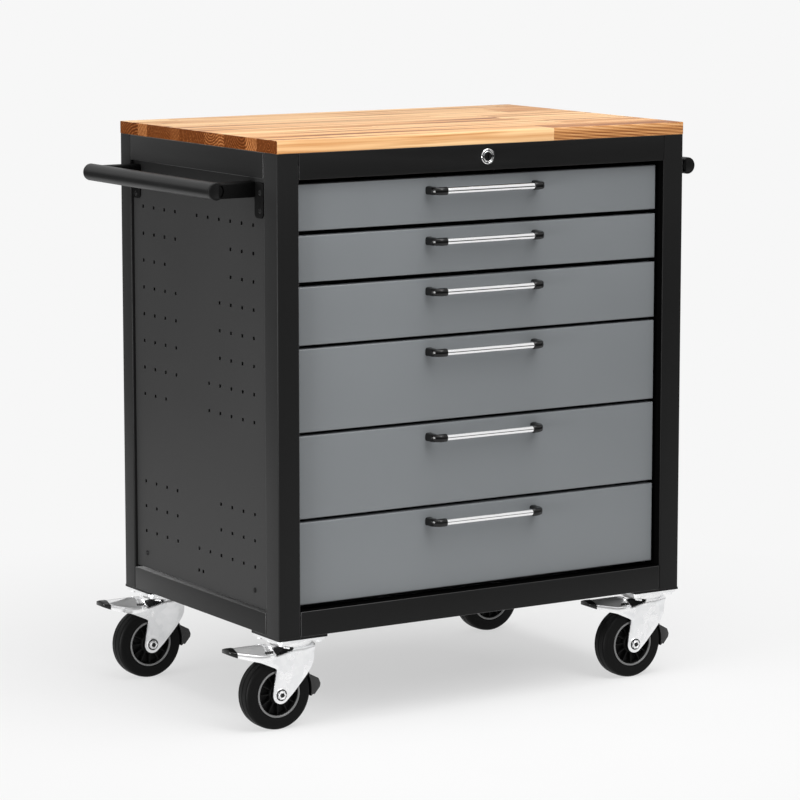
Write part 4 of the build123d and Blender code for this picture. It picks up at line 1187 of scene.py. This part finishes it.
def pedal(corner, x, y):
    """Arched chrome tongue with skirts, a moulded tip and a small ridged tab beside the fork."""
    body = f"{corner}_brake_pedal"
    bm = bmesh.new()
    thick_sheet(bm, *(pedal_rows(x, y, 0.0, TONGUE_END, 20, grow) for grow in (0.0, -PEDAL_SHEET)))
    piece(f"{corner}_pedal_tongue", bm, PEDAL_CHROME, body, (f"{corner}_pedal",))
    cap = bmesh.new()
    skin(cap, pedal_rows(x, y, TIP_START, 1.0, 8, TIP_GROWTH))
    soften(cap, TIP_EDGE, 2, 50)
    piece(f"{corner}_pedal_tip", cap, PLASTIC_BLACK, body)
    ridges = {
        "Count": 4, "Start": (Vector((x, y, 0)) + Vector(RIDGE_START)) * MM, "Step": (0.0042, 0, -0.0002),
        "Size": (0.0018, 0.0042, 0.0042), "Finish": PLASTIC_BLACK,
    }
    grown(f"{corner}_pedal_ridges", TAB_RIDGES, ridges, body)


# Nose and strap of the brake block as (x, z), each corner with its radius
NOSE = ((38.5, 51), (53, 64), (54.5, 70), (50, 79.5), (30, 90), (25, 101.5), (30, 113), (30, 141.8), (16, 141.8))
NOSE_RADII = (2, 3, 3, 4, 3, 3, 3, 0, 0)


def brake_block(corner, x, y):
    """Moulded block beside the wheel with a blunt nose, on a strap along the tread to the fork's crown."""
    reach = WHEEL_RADIUS + SHOE_GAP
    tread = []
    for k in range(SHOE_STEPS + 1):
        z = SHOE_TOP - SHOE_SPAN * k / SHOE_STEPS
        tread.append((-TRAIL + sqrt(reach ** 2 - (z - WHEEL_RADIUS) ** 2), z))
    bm = bmesh.new()
    for vert in prism(bm, tread + rounded(NOSE, NOSE_RADII, 3), "y", -SHOE_HALF, SHOE_HALF):
        share = max(0.0, min(1.0, (vert.co.x - NOSE_START) / NOSE_REACH))
        vert.co.y *= 1 - NOSE_TAPER * share
    soften(bm, SHOE_EDGE, 3, 50)
    bmesh.ops.translate(bm, vec=(x, y, 0), verts=bm.verts)
    piece(f"{corner}_brake_shoe", bm, BRAKE_BLACK, f"{corner}_caster", (f"{corner}_brake_block",))


# Tyre, rim and its grey rings as (radius, distance from the wheel's middle)
TYRE_HALF = (
    (41, 16.2), (41.6, 17.2), (43.5, 17.5), (47, 17.2), (52, 16.9), (56.5, 16.9), (59, 16.3), (60.8, 15.0),
    (61.6, 13.4), (61.7, 12.9), (60.6, 12.3), (60.6, 11.0), (61.9, 10.3), (62.4, 8), (62.5, 1.6), (61.7, 1.2),
    (61.7, 0.0),
)
RIM_HALF = (
    (37.2, 15.8), (36.6, 15.2), (36.2, 8), (35, 5.5), (20, 4.6), (17.4, 5.4), (17, 14.5), (16.4, 15.4),
    (14.6, 15.6), (13.8, 14.8), (13.4, 12), (11.2, 12), (10.8, 17.2), (9.8, 17.5), (5.1, 17.5),
)
RIM_SEAT = ((40.9, -15.8), (40.9, 15.8))
RIM_RING = ((37.3, 15.9), (37.5, 17.2), (38.3, 17.9), (39.6, 17.9), (40.6, 17.3), (40.9, 15.9), (37.3, 15.9))


def wheel(corner, centre):
    """Tyre with a stepped tread on a ribbed rim with grey rings."""
    body = f"{corner}_wheel"
    bm = bmesh.new()
    profile = both_halves(TYRE_HALF)
    lathe(bm, profile + profile[:1], centre, "y", 72)
    piece(f"{corner}_tread", bm, RUBBER_BLACK, body, (f"{corner}_tyre",), 30)
    bm = bmesh.new()
    profile = both_halves(RIM_HALF) + list(RIM_SEAT)
    lathe(bm, profile + profile[:1], centre, "y", 60)
    piece(f"{corner}_rim_body", bm, RIM_BLACK, body, (f"{corner}_rim",))
    bm = bmesh.new()
    lathe_pair(bm, RIM_RING, centre, 60)
    piece(f"{corner}_rim_rings", bm, RING_GREY, body, (f"{corner}_rim",))
    values = {
        "Count": RIB_COUNT, "Inner": 0.0168, "Outer": 0.0366, "Thickness": 0.0018, "Width": 0.026,
        "Centre": Vector(centre) * MM, "Finish": RIM_BLACK,
    }
    grown(f"{corner}_rim_ribs", WHEEL_RIBS, values, body)


def caster(corner, x, y):
    """One braked swivel caster: fork, axle and pins, black rings and plugs of painted shade at the axle nuts, cup,
    wheel, pedal and brake block.
    """
    body, centre = f"{corner}_caster", (x - TRAIL, y, WHEEL_RADIUS)
    bm = bmesh.new()
    fork_sheet(bm, x, y)
    soften(bm, FORK_EDGE, 2, 50)
    piece(f"{corner}_pressed_fork", bm, ZINC, body, (f"{corner}_fork",))
    bm = bmesh.new()
    axle_set(bm, centre)
    lathe_pair(bm, PEDAL_PIN, (x + PEDAL_PIVOT[0], y, PEDAL_PIVOT[1]), 24)
    piece(f"{corner}_axle", bm, ZINC, body, (f"{corner}_fork",))
    # Black rings and plugs at the axle nuts: painted shade.
    bm = bmesh.new()
    lathe_pair(bm, AXLE_RING_SHADE, centre, 32)
    lathe_pair(bm, AXLE_SOCKET_SHADE, centre, 6)
    piece(f"{corner}_axle_painted_shade", bm, PLASTIC_BLACK, body)
    swivel_cup(corner, x, y)
    wheel(corner, centre)
    pedal(corner, x, y)
    brake_block(corner, x, y)


# Studio, in metres

SEEN_WHITE = 0.93
FLOOR_RADIUS = 2.6
# The floor glows by a share that rises from near the chest outwards, so that the shadow stays round the casters.
FLOOR_REACH = (0.2, 1.4)
FLOOR_GLOW = (0.54, 1.0)
# The walls' light from right to left, and the band at eye level that shiny pieces mirror dark
WALL_SPAN = (0.6, -0.8)
WALL_LIGHT = (0.30, 0.54)
EYE_LEVEL = (0.02, 0.24)
EYE_DARK = 0.04
# Lamps: name, place, target, width and height, watts
LAMPS = (
    ("key", (-4.2, -0.6, 0.42), (0, 0, 0.35), (2.6, 1.1), 185),
    ("overhead", (0.2, -1.2, 3.8), (0, 0, 0.5), (3.0, 3.0), 98),
    ("front", (0.6, -3.6, 3.2), (0, -0.3, 0.6), (1.6, 1.6), 44),
)
# Camera fitted to the photograph: degrees below the horizon and round from straight on, and lens in millimetres
CAMERA_PLACE = (-3.2820, -5.2080, 1.4391)
CAMERA_DIP = 8.653
CAMERA_TURN = -32.16
CAMERA_LENS = 156.65
SENSOR_WIDTH = 36


def floor_disc():
    """Pale round floor that catches the shadow near the chest and is lost in the background further out."""
    bm = bmesh.new()
    bmesh.ops.create_circle(bm, cap_ends=True, segments=96, radius=FLOOR_RADIUS)
    mesh = bpy.data.meshes.new("floor")
    bm.to_mesh(mesh)
    bm.free()
    floor = bpy.data.objects.new("floor", mesh)
    bpy.context.scene.collection.objects.link(floor)
    material = bpy.data.materials.new("pale_floor")
    material.use_nodes = True
    tree = material.node_tree
    tree.nodes.clear()
    place = node(tree, "ShaderNodeTexCoord").outputs["Object"]
    reach = node(tree, "ShaderNodeVectorMath", {0: place}, operation="LENGTH").outputs["Value"]
    fade = ranged(tree, reach, *FLOOR_REACH, *FLOOR_GLOW)
    tint = ranged(tree, noise(tree, place, 3.0, 3.0), 0.2, 0.8, 0.90, 0.93)
    matt = node(tree, "ShaderNodeBsdfDiffuse", {"Color": tint})
    glow = node(tree, "ShaderNodeEmission", {"Color": grey(SEEN_WHITE), "Strength": 1.0})
    mix = node(tree, "ShaderNodeMixShader", {0: fade, 1: matt.outputs[0], 2: glow.outputs[0]})
    output = node(tree, "ShaderNodeOutputMaterial")
    tree.links.new(mix.outputs[0], output.inputs["Surface"])
    mesh.materials.append(material)


def studio():
    """Bright room whose walls give an even light and mirror darker at eye level."""
    world = bpy.data.worlds.new("studio")
    bpy.context.scene.world = world
    world.use_nodes = True
    tree = world.node_tree
    tree.nodes.clear()
    way = node(tree, "ShaderNodeSeparateXYZ", {0: node(tree, "ShaderNodeTexCoord").outputs["Generated"]})
    inputs = {0: way.outputs["Z"], 1: EYE_LEVEL[0], 2: EYE_LEVEL[1]}
    rise = node(tree, "ShaderNodeMapRange", inputs, interpolation_type="SMOOTHSTEP").outputs[0]
    walls = ranged(tree, way.outputs["X"], *WALL_SPAN, *WALL_LIGHT)
    ceiling = blended(tree, rise, grey(EYE_DARK), grey(SEEN_WHITE))
    paths = node(tree, "ShaderNodeLightPath")
    shiny = maths(tree, "MAXIMUM", paths.outputs["Is Glossy Ray"], paths.outputs["Is Transmission Ray"])
    lit = blended(tree, shiny, walls, ceiling)
    seen = blended(tree, paths.outputs["Is Camera Ray"], lit, grey(SEEN_WHITE))
    background = node(tree, "ShaderNodeBackground", {"Color": seen, "Strength": 1.0})
    output = node(tree, "ShaderNodeOutputWorld")
    tree.links.new(background.outputs[0], output.inputs["Surface"])


def lamp(name, place, target, size, watts):
    """A flat rectangular lamp turned to its target."""
    data = bpy.data.lights.new(name, "AREA")
    data.shape = "RECTANGLE"
    data.size, data.size_y = size
    data.energy = watts
    made = bpy.data.objects.new(name, data)
    made.location = place
    made.rotation_euler = (Vector(target) - Vector(place)).to_track_quat("-Z", "Y").to_euler()
    bpy.context.scene.collection.objects.link(made)


def camera():
    """The photograph's camera."""
    data = bpy.data.cameras.new("photo_camera")
    data.sensor_width = SENSOR_WIDTH
    data.lens = CAMERA_LENS
    made = bpy.data.objects.new("photo_camera", data)
    made.location = CAMERA_PLACE
    made.rotation_euler = (radians(90 - CAMERA_DIP), 0, radians(CAMERA_TURN))
    bpy.context.scene.collection.objects.link(made)
    bpy.context.scene.camera = made


cabinet()
for number in DRAWERS:
    drawer(number)
for corner, (x, y) in swivel_axes().items():
    caster(corner, x, y)
floor_disc()
studio()
for settings in LAMPS:
    lamp(*settings)
camera()
bpy.context.scene.view_settings.view_transform = "Standard"
